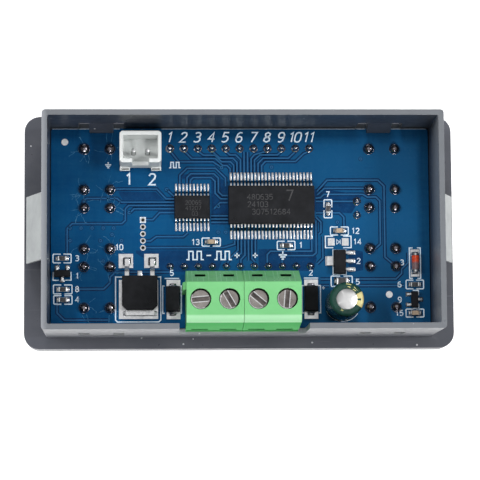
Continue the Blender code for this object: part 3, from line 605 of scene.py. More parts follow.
def add_ribbon(bm, points, width, z, closed=False, look=0):
    """A flat line of even width through points, with mitred corners."""
    path = [Vector(point) for point in points]
    rings = []
    for index, point in enumerate(path):
        before = path[index - 1] if index or closed else None
        after = path[(index + 1) % len(path)] if index + 1 < len(path) or closed else None
        arrive = (point - before).normalized() if before is not None else (after - point).normalized()
        leave = (after - point).normalized() if after is not None else arrive
        side = Vector((-arrive.y - leave.y, arrive.x + leave.x)).normalized()
        side *= 0.5 * width / max(0.5, side.dot(Vector((-arrive.y, arrive.x))))
        left, right = point + side, point - side
        rings.append([bm.verts.new((left.x, left.y, z[1])), bm.verts.new((right.x, right.y, z[1])),
                      bm.verts.new((right.x, right.y, z[0])), bm.verts.new((left.x, left.y, z[0]))])
    following = rings[1:] + (rings[:1] if closed else [])
    for first, second in zip(rings, following):
        for k in range(4):
            face = bm.faces.new((first[k], first[(k + 1) % 4], second[(k + 1) % 4], second[k]))
            face.material_index = look
    if not closed:
        bm.faces.new(rings[0]).material_index = look
        bm.faces.new(rings[-1][::-1]).material_index = look


def arc(centre, radius, start, end, steps=8):
    """Points along an arc between two angles in degrees."""
    points = []
    for step in range(steps + 1):
        turn = math.radians(start + (end - start) * step / steps)
        points.append((centre[0] + radius * math.cos(turn), centre[1] + radius * math.sin(turn)))
    return points


def add_mound(bm, centre, size, base, height, look=0, steps=6, power=4.0):
    """Solder lying on a pad: a low pillow that stands highest in its middle."""
    rows = []
    for i in range(steps + 1):
        u = 2.0 * i / steps - 1.0
        row = []
        for j in range(steps + 1):
            v = 2.0 * j / steps - 1.0
            lift = (1.0 - abs(u) ** power) * (1.0 - abs(v) ** power)
            row.append(bm.verts.new((centre[0] + 0.5 * size[0] * u, centre[1] + 0.5 * size[1] * v,
                                     base + height * lift)))
        rows.append(row)
    for i in range(steps):
        for j in range(steps):
            corners = (rows[i][j], rows[i + 1][j], rows[i + 1][j + 1], rows[i][j + 1])
            bm.faces.new(corners).material_index = look
    rim = [rows[i][0] for i in range(steps + 1)] + [rows[steps][j] for j in range(1, steps + 1)]
    rim += [rows[i][steps] for i in range(steps - 1, -1, -1)] + [rows[0][j] for j in range(steps - 1, 0, -1)]
    sunk = [bm.verts.new((v.co.x, v.co.y, base - 0.02)) for v in rim]
    for k in range(len(rim)):
        following = (k + 1) % len(rim)
        bm.faces.new((rim[k], rim[following], sunk[following], sunk[k])).material_index = look
    bm.faces.new(sunk[::-1]).material_index = look


def rounded_copy(node, name, look, width, body="module", segments=2, crease=30.0):
    """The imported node's own shape with its sharp edges rounded, standing for the node."""
    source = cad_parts[node]
    bm = bmesh.new()
    bm.from_mesh(source.data)
    bmesh.ops.remove_doubles(bm, verts=bm.verts, dist=2e-6)
    bmesh.ops.dissolve_limit(bm, angle_limit=math.radians(1.0), verts=bm.verts, edges=bm.edges)
    # A face that runs around an opening is split, or the bevel closes the opening.
    bmesh.ops.connect_verts_concave(bm, faces=bm.faces[:])
    bm.transform(Matrix.Scale(1 / MM, 4))
    made = make_piece(name, bm, [look], body, (node,), crease)
    made.modifiers.clear()
    bevel = made.modifiers.new("rounded", "BEVEL")
    bevel.width = width * MM
    bevel.segments = segments
    bevel.limit_method = "ANGLE"
    bevel.angle_limit = math.radians(crease)
    bevel.miter_outer = "MITER_ARC"
    even = made.modifiers.new("even_shading", "WEIGHTED_NORMAL")
    even.weight = 100
    even.keep_sharp = True
    return made


def keep_node(node, look):
    """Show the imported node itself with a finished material."""
    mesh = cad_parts[node].data
    mesh.materials.clear()
    mesh.materials.append(LOOKS[look])


# ---------------------------------------------------------------- housing, clips and front


def build_housing():
    rounded_copy("housing", "housing_shell", "housing", 0.14)
    for side in ("left", "right"):
        rounded_copy(f"panel_clip_{side}", f"clip_leaf_{side}", "clip", 0.1, f"clip_{side}")


def build_front():
    """The lens, the display behind it with its dark segments, and the keys."""
    rounded_copy("display_lens", "display_window", "clear", 0.08)
    keep_node("display_glass", "crystal")
    keep_node("display_backlight", "diffuser")
    low, high = node_box("display_lens")
    centre = 0.5 * (low + high)
    bm = bmesh.new()
    glass_z = node_box("display_glass")[0].z
    z = (glass_z - 0.03, glass_z - 0.005)
    for row, height in ((centre.y + 3.4, 5.6), (centre.y - 4.0, 5.0)):
        for index in range(4):
            add_seven_segments(bm, (centre.x + 10.8 - 6.4 * index, row), height, z)
    make_piece("display_segments", bm, ["segment"])
    for number in range(1, 7):
        rounded_copy(f"key_cap_{number}", f"key_button_{number}", "key", 0.08, f"key_{number}",
                     crease=25.0)
        keep_node(f"tact_switch_{number}", "switch")
        keep_node(f"switch_plunger_{number}", "plunger")


def add_seven_segments(bm, centre, height, z):
    """The seven dark bars of one digit, mirrored as the display is read from below."""
    half, width = 0.5 * height, 0.55 * height
    bar = 0.14 * height
    for level in (-half, 0.0, half):
        reach, y = 0.5 * width - 0.1 * height, centre[1] + level
        add_ribbon(bm, [(centre[0] - reach, y), (centre[0] + reach, y)], bar, z)
    for side in (-1, 1):
        for level in (-0.5 * half, 0.5 * half):
            x = centre[0] + side * 0.5 * width
            reach = 0.5 * half - 0.08 * height
            add_ribbon(bm, [(x, centre[1] + level - reach), (x, centre[1] + level + reach)], bar, z)


# ---------------------------------------------------------------- solder joints


SLOT_ANGLES = (5.0, -60.0, -40.0, 85.0)
TERMINAL_XS = tuple(node_centre(f"terminal_screw_{n}").x for n in range(1, 5))
KEY_CENTRES = tuple(node_centre(f"key_cap_{n}") for n in range(1, 7))
SWITCH_LEG = Vector((2.35, 3.72))
DISPLAY_CENTRE = node_centre("display_lens")
DISPLAY_PIN_ROW, DISPLAY_PIN_PITCH, DISPLAY_PINS = 10.77, 2.54, 11
HEADER_X, HEADER_TOP_Y, HEADER_PITCH = -17.72, 1.45, 1.27


def display_pin_places(side):
    for index in range(DISPLAY_PINS):
        x = DISPLAY_CENTRE.x + (index - 0.5 * (DISPLAY_PINS - 1)) * DISPLAY_PIN_PITCH
        yield x, DISPLAY_CENTRE.y + side * DISPLAY_PIN_ROW


def switch_leg_places():
    for centre in KEY_CENTRES:
        for side_x in (-1, 1):
            for side_y in (-1, 1):
                yield centre.x + side_x * SWITCH_LEG.x, centre.y + side_y * SWITCH_LEG.y


def solder_wobble(rng, amount):
    """Uneven radius all round a joint, the same at each run."""
    phases = [(rng.uniform(0, math.tau), rng.uniform(0.3, 1.0)) for _ in range(3)]

    def wobble(turn):
        return amount * sum(size * math.sin((k + 2) * turn + phase) for k, (phase, size) in enumerate(phases))

    return wobble


def build_switch_joints(rng):
    """Full domes over the legs of the key switches."""
    bm = bmesh.new()
    for x, y in switch_leg_places():
        radius, height = rng.uniform(0.88, 1.0), rng.uniform(0.8, 1.0)
        profile = [(radius + 0.08, BOARD_TOP - 0.01), (radius + 0.06, BOARD_TOP + 0.05)]
        for step in range(9):
            turn = 0.5 * math.pi * step / 8
            profile.append((radius * math.cos(turn) ** 0.8, BOARD_TOP + 0.06 + height * math.sin(turn)))
        profile[-1] = (0.0, profile[-1][1])
        add_turned(bm, profile, (x, y), 28, wobble=solder_wobble(rng, 0.025))
    make_piece("switch_solder", bm, ["solder"], crease=70.0)


def build_display_joints(rng):
    """Hollow fillets that climb the display's pins."""
    bm = bmesh.new()
    sizes = [(place, 0.74) for place in display_pin_places(1)]
    sizes += [(place, 0.62) for place in display_pin_places(-1)]
    sizes += [((21.2, 4.81), 0.72), ((21.2, 2.27), 0.68)]
    for (x, y), size in sizes:
        radius = size * rng.uniform(0.96, 1.06)
        profile = [(radius + 0.03, BOARD_TOP - 0.01), (radius, BOARD_TOP + 0.05)]
        for step in range(1, 7):
            climb = step / 6
            profile.append((radius - (radius - 0.32) * climb ** 0.6, BOARD_TOP + 0.05 + 0.6 * climb**1.4))
        profile += [(0.28, BOARD_TOP + 0.76), (0.16, BOARD_TOP + 0.82), (0.0, BOARD_TOP + 0.84)]
        add_turned(bm, profile, (x, y), 24, wobble=solder_wobble(rng, 0.03))
    make_piece("display_solder", bm, ["joint"], crease=50.0)


# ---------------------------------------------------------------- board surface


def add_ring(bm, centre, inner, outer, z, steps=20, look=0):
    """A flat washer."""
    add_ribbon(bm, arc(centre, 0.5 * (inner + outer), 0, 360 - 360 / steps, steps - 1), outer - inner, z,
               closed=True, look=look)


def add_disc(bm, centre, radius, z, steps=20, look=0):
    add_turned(bm, [(0.0, z[0]), (radius, z[0]), (radius, z[1]), (0.0, z[1])], centre, steps, look)


def add_trace(bm, points, width=0.26, gap=0.22):
    """A masked track with a navy gap on both sides."""
    add_ribbon(bm, points, width, TRACE_Z, look=0)
    add_ribbon(bm, points, width + 2 * gap, GAP_Z, look=1)


def add_via(bm, centre):
    add_disc(bm, centre, 0.42, GAP_Z, 14, look=1)
    add_ring(bm, centre, 0.12, 0.32, TRACE_Z, 14, look=0)


TRACKS = (
    # From the left keys and the programming holes to the controller chip
    ((-22.7, 7.1), (-15.2, 7.1), (-13.5, 5.3), (-11.8, 5.3)),
    ((-28.5, 4.2), (-28.5, 4.9), (-27.9, 5.4), (-22.4, 5.4), (-21.6, 4.7), (-11.8, 4.7)),
    ((-31.4, -4.6), (-31.4, -0.1), (-30.5, 0.8), (-21.5, 0.8), (-20.9, 1.4), (-20.9, 3.5), (-20.3, 4.1),
     (-11.8, 4.1)),
    ((-20.0, 2.8), (-19.3, 3.5), (-11.8, 3.5)),
    ((-17.3, 1.5), (-15.9, 1.5), (-14.7, 2.8), (-11.8, 2.8)),
    ((-13.3, 6.9), (-12.1, 5.8)),
    ((-17.3, -2.4), (-16.4, -2.4), (-15.3, -1.6), (-10.4, -1.6), (-9.6, -0.9)),
    ((-17.3, -3.6), (-3.1, -3.6), (-1.1, -3.0), (-1.1, -2.3)),
    # Loops from the controller chip round to the display chip
    ((-11.0, 8.0), (-11.0, 9.6), (-9.7, 10.9), (-4.5, 10.9), (-2.7, 9.1), (-2.7, 7.6)),
    ((-9.7, 8.0), (-9.7, 9.2), (-9.0, 9.9), (-4.8, 9.9), (-4.0, 9.1), (-4.0, 6.6), (-3.3, 5.9), (-2.3, 5.9)),
    ((-9.1, 8.0), (-9.1, 8.7), (-8.6, 9.2), (-5.3, 9.2), (-4.6, 8.5), (-4.6, 6.3), (-3.6, 5.3), (-2.3, 5.3)),
    ((-4.8, 3.5), (-3.7, 4.6), (-2.3, 4.6)),
    ((-5.4, 2.2), (-2.2, 2.2)),
    ((-5.4, 1.6), (-2.2, 1.6)),
    ((-5.4, 1.0), (-2.2, 1.0)),
    # The display bus
    ((-12.7, 14.0), (-11.2, 12.1), (-5.0, 12.1), (-3.6, 11.2)),
    ((-10.1, 14.0), (-8.8, 12.7), (-4.5, 12.7), (-3.2, 11.4), (-2.4, 11.4), (-1.85, 10.8), (-1.85, 9.9)),
    ((-7.6, 14.0), (-6.7, 13.3), (-4.6, 13.3), (-3.4, 12.1), (-1.8, 12.1), (-1.2, 11.5), (-1.2, 9.9)),
    ((-5.1, 14.0), (-3.7, 12.75), (-1.3, 12.75), (-0.6, 12.0), (-0.6, 9.9)),
    ((-2.6, 14.0), (-1.9, 13.35), (-0.8, 13.35), (0.05, 12.5), (0.05, 9.9)),
    ((0.7, 13.9), (0.7, 9.9)),
    ((1.35, 13.9), (1.35, 9.9)),
    ((5.0, 14.0), (4.4, 13.9), (2.6, 13.4), (2.0, 12.7), (2.0, 9.9)),
    ((7.5, 14.0), (6.8, 13.35), (3.6, 13.35), (2.6, 12.4), (2.6, 9.9)),
    ((10.1, 14.0), (8.8, 12.75), (4.2, 12.75), (3.25, 11.8), (3.25, 9.9)),
    ((12.6, 14.0), (11.6, 13.6), (10.1, 12.15), (4.6, 12.15), (3.9, 11.4), (3.9, 9.9)),
    # From the display chip to the right keys and the backlight
    ((14.0, 6.7), (15.8, 8.7), (25.1, 8.7), (26.2, 7.6), (26.2, -5.4), (27.7, -6.7)),
    ((14.0, 6.0), (15.3, 7.2), (23.2, 7.2)),
    ((13.7, 5.4), (14.6, 5.5), (15.2, 6.1), (22.3, 6.1), (23.1, 5.6), (24.7, 5.6), (25.4, 4.9), (25.4, -3.0),
     (24.5, -3.8)),
    ((13.7, 4.8), (20.6, 4.8)),
    ((13.7, 2.7), (18.0, 2.7), (18.8, 1.9), (18.8, -0.2)),
    ((13.7, 1.9), (14.6, 1.0), (14.6, -0.8), (14.2, -1.2)),
    # Below the display chip
    ((-0.5, -2.2), (-0.5, -4.1), (-1.8, -5.4), (-2.4, -6.4)),
    ((0.1, -2.2), (0.1, -4.6), (-1.0, -5.7)),
    ((0.75, -2.2), (0.75, -5.0), (0.0, -5.8), (0.0, -6.6)),
    ((1.4, -2.2), (1.4, -6.0)),
    ((2.0, -2.2), (2.0, -5.6), (2.5, -6.2)),
    ((2.65, -2.2), (2.65, -5.4)),
    ((12.9, -2.2), (12.9, -4.3), (5.4, -4.3), (4.8, -4.9), (4.8, -6.4)),
    ((13.7, 1.2), (13.7, -4.6), (13.1, -5.1), (8.2, -5.1), (7.5, -5.8), (7.5, -6.4)),
    ((14.9, -1.6), (14.9, -5.6), (13.9, -6.6)),
    # The power stage and the sensing parts
    ((-30.4, -11.1), (-24.8, -11.1), (-23.6, -9.9), (-23.6, -8.9), (-22.7, -8.05), (-13.0, -8.05)),
    ((-33.2, -11.9), (-33.2, -15.4), (-31.9, -16.7), (-24.0, -16.7)),
    ((14.4, -9.4), (16.2, -9.4)),
    ((20.4, -9.4), (28.2, -9.4), (29.2, -8.4), (29.2, -7.6), (30.4, -6.4), (30.4, -4.6)),
    ((14.4, -10.6), (16.0, -10.6)),
    ((20.9, -10.6), (29.6, -10.6)),
)
VIAS = (
    (-20.2, 2.8), (-13.4, 7.0), (-3.4, 11.0), (5.7, 11.1), (-4.1, -0.8), (-2.7, -0.8), (-4.0, 3.9),
    (-23.3, -1.2), (-24.9, -6.0), (-30.9, 0.0), (-28.9, 0.0), (-26.9, 0.0), (-24.9, 0.0), (-23.0, 0.0),
    (-30.9, -2.3), (-25.4, -2.3), (-21.6, -2.3), (17.6, 1.0), (8.6, 5.0), (19.6, -12.6), (28.6, 3.6),
    (22.0, 12.6), (-12.6, -13.0),
)
BARE_AREAS = (
    # Where no copper lies under the mask: darker and bluer
    ((-22.2, 6.6), (-21.4, 5.1), (-13.9, 5.1), (-15.4, 6.6)),
    ((13.4, 7.1), (16.4, 6.9), (22.2, 5.9), (20.2, 2.6), (13.4, 3.0)),
    ((-19.0, -4.1), (-3.4, -4.1), (-3.0, -5.0), (-4.2, -8.0), (-14.6, -8.0), (-14.6, -7.4), (-19.0, -4.6)),
    ((3.2, -3.9), (13.2, -3.9), (13.8, -5.6), (13.2, -7.9), (3.2, -7.9)),
    ((-4.8, 9.6), (-2.3, 8.4), (-2.3, 0.6), (-5.3, 0.6), (-5.3, 8.6)),
    ((-10.6, 9.8), (-4.9, 9.8), (-5.2, 8.9), (-10.6, 8.9)),
    ((19.6, -3.9), (22.2, -4.4), (22.2, -7.8), (19.6, -8.2)),
)


def build_tracks():
    """Masked tracks with their gaps, bare areas between them, and vias."""
    bm = bmesh.new()
    for points in TRACKS:
        add_trace(bm, points)
    for outline in BARE_AREAS:
        add_prism(bm, outline, BOARD_TOP - 0.01, BOARD_TOP + 0.004, look=2)
    for centre in VIAS:
        add_via(bm, centre)
    make_piece("board_tracks", bm, ["trace", "gap", "bare"])


def build_board_marks(rng):
    """A painted highlight as a pale strip along the top edge of the board, and flux smeared round the joints of the
    left keys.
    """
    bm = bmesh.new()
    # Painted highlight: a pale strip on the board along its top edge.
    y = BOARD_HIGH.y - 0.07
    for start, end in ((-34.2, -27.4), (-23.0, -21.9), (-14.3, 22.9), (27.4, 34.0)):
        add_ribbon(bm, [(start, y), (end, y)], 0.1, TRACE_Z)
    make_piece("board_edge_highlight_strip", bm, ["edge_highlight"])
    bm = bmesh.new()
    for x, y in list(switch_leg_places())[:12]:
        for _ in range(6):
            turn = rng.uniform(0, math.tau)
            near, bend = rng.uniform(0.9, 1.4), rng.uniform(-0.8, 0.8)
            points = []
            for step in range(5):
                reach = near + step * rng.uniform(0.25, 0.45)
                swing = turn + bend * step * 0.2
                points.append((x + reach * math.cos(swing), y + reach * math.sin(swing)))
            if all(abs(u) < 33.8 and abs(v) < 17.6 for u, v in points):
                add_ribbon(bm, points, rng.uniform(0.06, 0.12), TRACE_Z)
    make_piece("flux_residue", bm, ["residue"])


def build_pads():
    """Bare tinned copper: lands under the parts, fiducials, and the rings of the programming holes."""
    bm = bmesh.new()
    for centre in ((-31.86, 15.71), (26.9, -12.23)):
        add_disc(bm, centre, 0.62, PAD_Z)
    for index in range(5):
        centre = (HEADER_X, HEADER_TOP_Y - index * HEADER_PITCH)
        add_ring(bm, centre, 0.31, 0.52, PAD_Z)
    for x in (-22.12, -17.5):
        add_box(bm, (x, x + 2.6), (-7.3, -4.72), PAD_Z, 0.015)
    add_box(bm, (-22.07, -15.0), (-16.54, -9.46), PAD_Z, 0.015)
    for x in (-13.48, 11.45):
        add_box(bm, (x, x + 2.5), (-16.6, -14.3), PAD_Z, 0.015)
        add_box(bm, (x, x + 2.5), (-11.8, -9.45), PAD_Z, 0.015)
    for x in (16.45, 19.0):
        add_box(bm, (x - 0.62, x + 0.62), (-3.3, -1.92), PAD_Z, 0.015)
    make_piece("board_pads", bm, ["pad"])


# ---------------------------------------------------------------- silkscreen


GLYPHS = {
    "0": [[(0.0, 0.25), (0.1, 0.05), (0.3, 0.0), (0.5, 0.05), (0.6, 0.25), (0.6, 0.75), (0.5, 0.95),
           (0.3, 1.0), (0.1, 0.95), (0.0, 0.75), (0.0, 0.25)]],
    "1": [[(0.1, 0.8), (0.32, 1.0), (0.32, 0.0)]],
    "2": [[(0.02, 0.8), (0.14, 0.96), (0.32, 1.0), (0.5, 0.95), (0.58, 0.76), (0.52, 0.58), (0.0, 0.0),
           (0.62, 0.0)]],
    "3": [[(0.02, 0.9), (0.2, 1.0), (0.42, 0.98), (0.56, 0.84), (0.54, 0.64), (0.36, 0.53), (0.2, 0.53)],
          [(0.36, 0.53), (0.56, 0.42), (0.6, 0.22), (0.46, 0.04), (0.2, 0.0), (0.0, 0.1)]],
    "4": [[(0.46, 0.0), (0.46, 1.0), (0.0, 0.32), (0.64, 0.32)]],
    "5": [[(0.56, 1.0), (0.08, 1.0), (0.04, 0.56), (0.3, 0.64), (0.54, 0.52), (0.6, 0.3), (0.48, 0.08),
           (0.24, 0.0), (0.0, 0.08)]],
    "6": [[(0.52, 0.96), (0.28, 1.0), (0.08, 0.84), (0.0, 0.5), (0.0, 0.24), (0.12, 0.04), (0.32, 0.0),
           (0.52, 0.06), (0.6, 0.28), (0.52, 0.5), (0.3, 0.58), (0.08, 0.5), (0.0, 0.34)]],
    "7": [[(0.0, 1.0), (0.6, 1.0), (0.22, 0.0)]],
    "8": [[(0.3, 0.54), (0.08, 0.66), (0.06, 0.86), (0.3, 1.0), (0.54, 0.86), (0.52, 0.66), (0.3, 0.54),
           (0.04, 0.4), (0.02, 0.14), (0.3, 0.0), (0.58, 0.14), (0.56, 0.4), (0.3, 0.54)]],
    "9": [[(0.08, 0.04), (0.32, 0.0), (0.52, 0.16), (0.6, 0.5), (0.6, 0.76), (0.48, 0.96), (0.28, 1.0),
           (0.08, 0.94), (0.0, 0.72), (0.08, 0.5), (0.3, 0.42), (0.52, 0.5), (0.6, 0.66)]],
    "+": [[(0.05, 0.5), (0.65, 0.5)], [(0.35, 0.2), (0.35, 0.8)]],
    "-": [[(0.05, 0.5), (0.6, 0.5)]],
    "pulse": [[(0.0, 0.0), (0.3, 0.0), (0.3, 1.0), (0.8, 1.0), (0.8, 0.0), (1.3, 0.0), (1.3, 1.0), (1.8, 1.0),
               (1.8, 0.0), (2.1, 0.0)]],
    "ground": [[(0.5, 1.0), (0.5, 0.55)], [(0.0, 0.55), (1.0, 0.55)], [(0.18, 0.3), (0.82, 0.3)],
               [(0.36, 0.05), (0.64, 0.05)]],
}
GLYPH_WIDTHS = {"pulse": 2.1, "ground": 1.0, "1": 0.5}


def add_glyphs(bm, glyphs, centre, height, stroke=INK_WIDTH, slant=0.0, spacing=0.28, z=INK_Z):
    """Draw digits and plain symbols in strokes, centred on a point."""
    widths = [GLYPH_WIDTHS.get(glyph, 0.62) * height for glyph in glyphs]
    length = sum(widths) + spacing * height * (len(glyphs) - 1)
    x = centre[0] - 0.5 * length
    for glyph, width in zip(glyphs, widths):
        for line in GLYPHS[glyph]:
            placed = [(x + height * (u + slant * (v - 0.5)), centre[1] + height * (v - 0.5)) for u, v in line]
            add_ribbon(bm, placed, stroke, z)
        x += width + spacing * height


def add_brackets(bm, centre, width, height, upright=False, open_share=0.16, corner=0.12):
    """The outline of a small part in two facing brackets, open in the middle of its long sides."""
    half_u, half_v = 0.5 * width, 0.5 * height
    if upright:
        half_u, half_v = half_v, half_u
    for side in (-1, 1):
        line = [(side * half_u * open_share, half_v), (side * (half_u - corner), half_v),
                (side * half_u, half_v - corner), (side * half_u, corner - half_v),
                (side * (half_u - corner), -half_v), (side * half_u * open_share, -half_v)]
        if upright:
            line = [(v, u) for u, v in line]
        add_ribbon(bm, [(centre[0] + u, centre[1] + v) for u, v in line], INK_WIDTH, INK_Z)


SMALL_OUTLINES = (
    ((-5.37, -2.6), 3.31, 1.47, False),
    ((8.23, -3.25), 3.22, 1.54, False),
    ((15.91, 3.45), 1.42, 3.3, True),
    ((17.95, -0.62), 3.25, 1.47, False),
    ((18.27, -9.8), 3.83, 1.9, False),
    ((-32.32, -5.54), 3.26, 1.59, False),
    ((-32.19, -11.14), 3.33, 1.62, False),
    ((-32.16, -13.04), 3.29, 1.55, False),
    ((31.57, -10.42), 3.18, 1.59, False),
    ((31.52, -15.62), 3.24, 1.45, False),
)


def build_silkscreen():
    bm = bmesh.new()
    for centre, width, height, upright in SMALL_OUTLINES:
        add_brackets(bm, centre, width, height, upright)
    add_transistor_ink(bm)
    add_diode_ink(bm)
    add_label_ink(bm)
    add_header_ink(bm)
    make_piece("board_silkscreen", bm, ["ink"])


def add_transistor_ink(bm):
    """Frames round the power transistor, the regulator and the two small transistors."""
    left, right, low, high = -22.68, -14.53, -17.07, -8.93
    for side in (-1, 1):
        edge = right if side > 0 else left
        inner = 0.5 * (left + right) + side * 1.35
        add_ribbon(bm, [(inner, high), (edge, high), (edge, low + 0.35), (edge - side * 0.35, low),
                        (0.5 * (left + right), low)], INK_WIDTH, INK_Z)
    for line in (
        [(16.74, -6.95), (16.74, -8.53), (19.07, -8.53), (19.07, -8.0)],
        [(16.74, -5.25), (16.74, -4.13), (19.07, -4.13), (19.07, -4.3)],
        [(-33.9, -7.98), (-33.95, -9.48), (-32.9, -9.48)],
        [(-30.7, -7.98), (-30.69, -9.48), (-31.7, -9.48)],
        [(31.2, -11.5), (32.2, -11.5), (32.2, -12.4)],
        [(31.2, -14.8), (32.2, -14.8), (32.2, -13.9)],
    ):
        add_ribbon(bm, line, INK_WIDTH, INK_Z)


def add_bracket(bm, inner, outer, ends):
    """One square bracket that stands at outer and reaches to inner."""
    add_ribbon(bm, [(inner, ends[0]), (outer, ends[0]), (outer, ends[1]), (inner, ends[1])], INK_WIDTH, INK_Z)


def add_diode_ink(bm):
    """Brackets and cathode bars round the two power diodes, the glass diode and the empty diode place."""
    for x, side in ((-12.5, -1), (12.7, 1)):
        for edge in (-1, 1):
            add_bracket(bm, x + edge * 1.33, x + edge * 1.68, (-10.57, -15.53))
        add_ribbon(bm, [(x - 1.3, -9.2), (x + 1.3, -9.2)], INK_WIDTH, INK_Z)
    glass_x, empty_x = 31.66, 17.72
    for edge in (-1, 1):
        add_bracket(bm, glass_x + edge * 0.4, glass_x + edge * 1.0, (-3.75, -9.3))
        add_bracket(bm, empty_x + edge * 0.9, empty_x + edge * 2.34, (-1.57, -3.67))
    arrow = [(empty_x - 0.28, -2.2), (empty_x + 0.24, -2.62), (empty_x - 0.28, -3.04)]
    add_ribbon(bm, arrow, 0.12, INK_Z, closed=True)
    add_ribbon(bm, [(empty_x + 0.36, -2.2), (empty_x + 0.36, -3.04)], 0.12, INK_Z)


def add_label_ink(bm):
    """Numbers and plain symbols beside the terminals, the socket and the parts."""
    row_y = 16.6
    for index, (x, _) in enumerate(display_pin_places(1)):
        add_glyphs(bm, str(index + 1), (x, row_y), 1.75, 0.24, slant=0.25, spacing=0.12)
    for number, side in ((1, -1), (2, 1)):
        x = node_centre(f"control_pin_{number}").x
        add_glyphs(bm, str(number), (x + side * 0.9, 8.9), 2.0, 0.3)
    add_glyphs(bm, ["ground"], (-24.0, 11.5), 1.1)
    add_glyphs(bm, ["pulse"], (-11.9, 11.5), 1.0)
    for x, glyphs in zip(TERMINAL_XS, (["pulse", "-"], ["pulse", "+"], ["+"], ["ground"])):
        add_glyphs(bm, glyphs, (x, -5.05), 1.5, 0.24)
    designators = (
        ("3", (-29.6, -5.5)), ("1", (-29.6, -8.7)), ("8", (-29.6, -11.1)), ("4", (-29.6, -13.0)),
        ("5", (21.2, -9.9)), ("12", (20.9, -0.6)), ("14", (21.2, -2.6)), ("2", (21.4, -6.1)),
        ("1", (10.9, -3.2)), ("13", (-8.2, -2.6)), ("7", (15.9, 6.1)), ("6", (28.8, -10.4)),
        ("9", (28.8, -13.2)), ("15", (28.7, -15.6)), ("3", (29.3, -6.4)), ("10", (-22.0, -3.5)),
        ("5", (-12.5, -8.2)), ("2", (12.7, -8.2)),
    )
    for text, centre in designators:
        add_glyphs(bm, text, centre, 0.95, 0.17)
    can = node_centre("capacitor")
    add_ribbon(bm, arc((can.x + 0.2, can.y + 0.2), 3.3, 205, 325, 14), 0.12, INK_Z)
    add_glyphs(bm, "+", (can.x - 3.3, can.y + 3.0), 0.9, 0.14)


def add_header_ink(bm):
    """A square round the first programming hole."""
    side = 0.46
    x, y = HEADER_X, HEADER_TOP_Y
    corners = [(x - side, y - side), (x + side, y - side), (x + side, y + side), (x - side, y + side)]
    add_ribbon(bm, corners, 0.16, INK_Z, closed=True)


# ---------------------------------------------------------------- terminals


def build_terminals():
    """The two blocks, the moulded ribs on their back slope, and what turns and slides in them."""
    for side in ("left", "right"):
        rounded_copy(f"terminal_block_{side}", f"terminal_housing_{side}", "terminal", 0.1)
    high = node_box("terminal_block_left")[1]
    foot, head = Vector((high.y, 17.3)), Vector((-11.0, high.z))
    along = (head - foot).normalized()
    out = Vector((-along.y, along.x))
    if out.x < 0:
        out = -out

    def slope(share, lift):
        point = foot.lerp(head, share) + out * lift
        return point.x, point.y

    bm = bmesh.new()
    for x in TERMINAL_XS:
        for shift, start in ((-1.45, 0.04), (1.45, 0.04), (-0.5, 0.62), (0.5, 0.62), (-2.2, 0.04)):
            rib = [slope(start, -0.1), slope(start, 0.03), slope(0.97, 0.03), slope(0.97, -0.1)]
            add_prism(bm, rib, x + shift - 0.07, x + shift + 0.07, axis="x")
    make_piece("terminal_ribs", bm, ["rib"])
    for number in range(1, 5):
        rounded_copy(f"terminal_screw_{number}", f"slotted_screw_{number}", "steel", 0.07, f"screw_{number}",
                     crease=28.0)
        build_screw_wear(number)
        keep_node(f"clamp_cage_{number}", "brass")
        keep_node(f"terminal_contact_{number}", "brass")


def build_screw_wear(number):
    """Painted highlights as bright lines along the slot of a screw and part of its rim, and painted shade on the floor
    of the slot.
    """
    low, high = node_box(f"terminal_screw_{number}")
    centre = 0.5 * (low + high)
    z, floor_z = (high.z - 0.02, high.z + 0.012), (high.z - 0.82, high.z - 0.78)
    turn = Matrix.Rotation(math.radians(SLOT_ANGLES[number - 1]), 2)

    def along_slot(reaches, offset):
        turned = [turn @ Vector((reach, offset)) for reach in reaches]
        return [(centre.x + u.x, centre.y + u.y) for u in turned]

    bm = bmesh.new()
    # Painted highlights along both slot edges and part of the rim.
    for side in (-1, 1):
        add_ribbon(bm, along_slot((-1.5, -0.5, 0.5, 1.5), side * 0.47), 0.15, z)
    add_ribbon(bm, arc((centre.x, centre.y), 1.63, 150, 300, 14), 0.1, z)
    # Painted shade: a dark strip on the slot floor.
    add_ribbon(bm, along_slot((-1.45, 1.45), 0.0), 0.78, floor_z, look=1)
    make_piece(f"screw_painted_light_{number}", bm, ["tin", "slot_floor_shade"], f"screw_{number}")


# ---------------------------------------------------------------- chips and small parts


def lead_outline(inner, span, seat, shoulder, thickness):
    """Side view of a gull-wing lead as (reach, z) points, with its two bends rounded."""
    foot = 0.5 * span
    knee = inner + 0.32 * (foot - inner)
    ankle = knee + 0.28 * (foot - inner)
    line = [(inner - 0.1, shoulder), (knee - 0.1, shoulder), (knee, shoulder - 0.06),
            (knee + 0.06, shoulder - 0.16), (ankle - 0.06, seat + 0.16 + 0.5 * thickness), (ankle + 0.02, seat + 0.05 + 0.5 * thickness),
            (ankle + 0.14, seat + 0.5 * thickness), (foot, seat + 0.5 * thickness)]
    upper, lower = [], []
    for index, point in enumerate(line):
        before, after = line[max(index - 1, 0)], line[min(index + 1, len(line) - 1)]
        along = Vector((after[0] - before[0], after[1] - before[1])).normalized()
        side = Vector((-along.y, along.x)) * 0.5 * thickness
        upper.append((point[0] + side.x, point[1] + side.y))
        lower.append((point[0] - side.x, point[1] - side.y))
    return upper + lower[::-1]


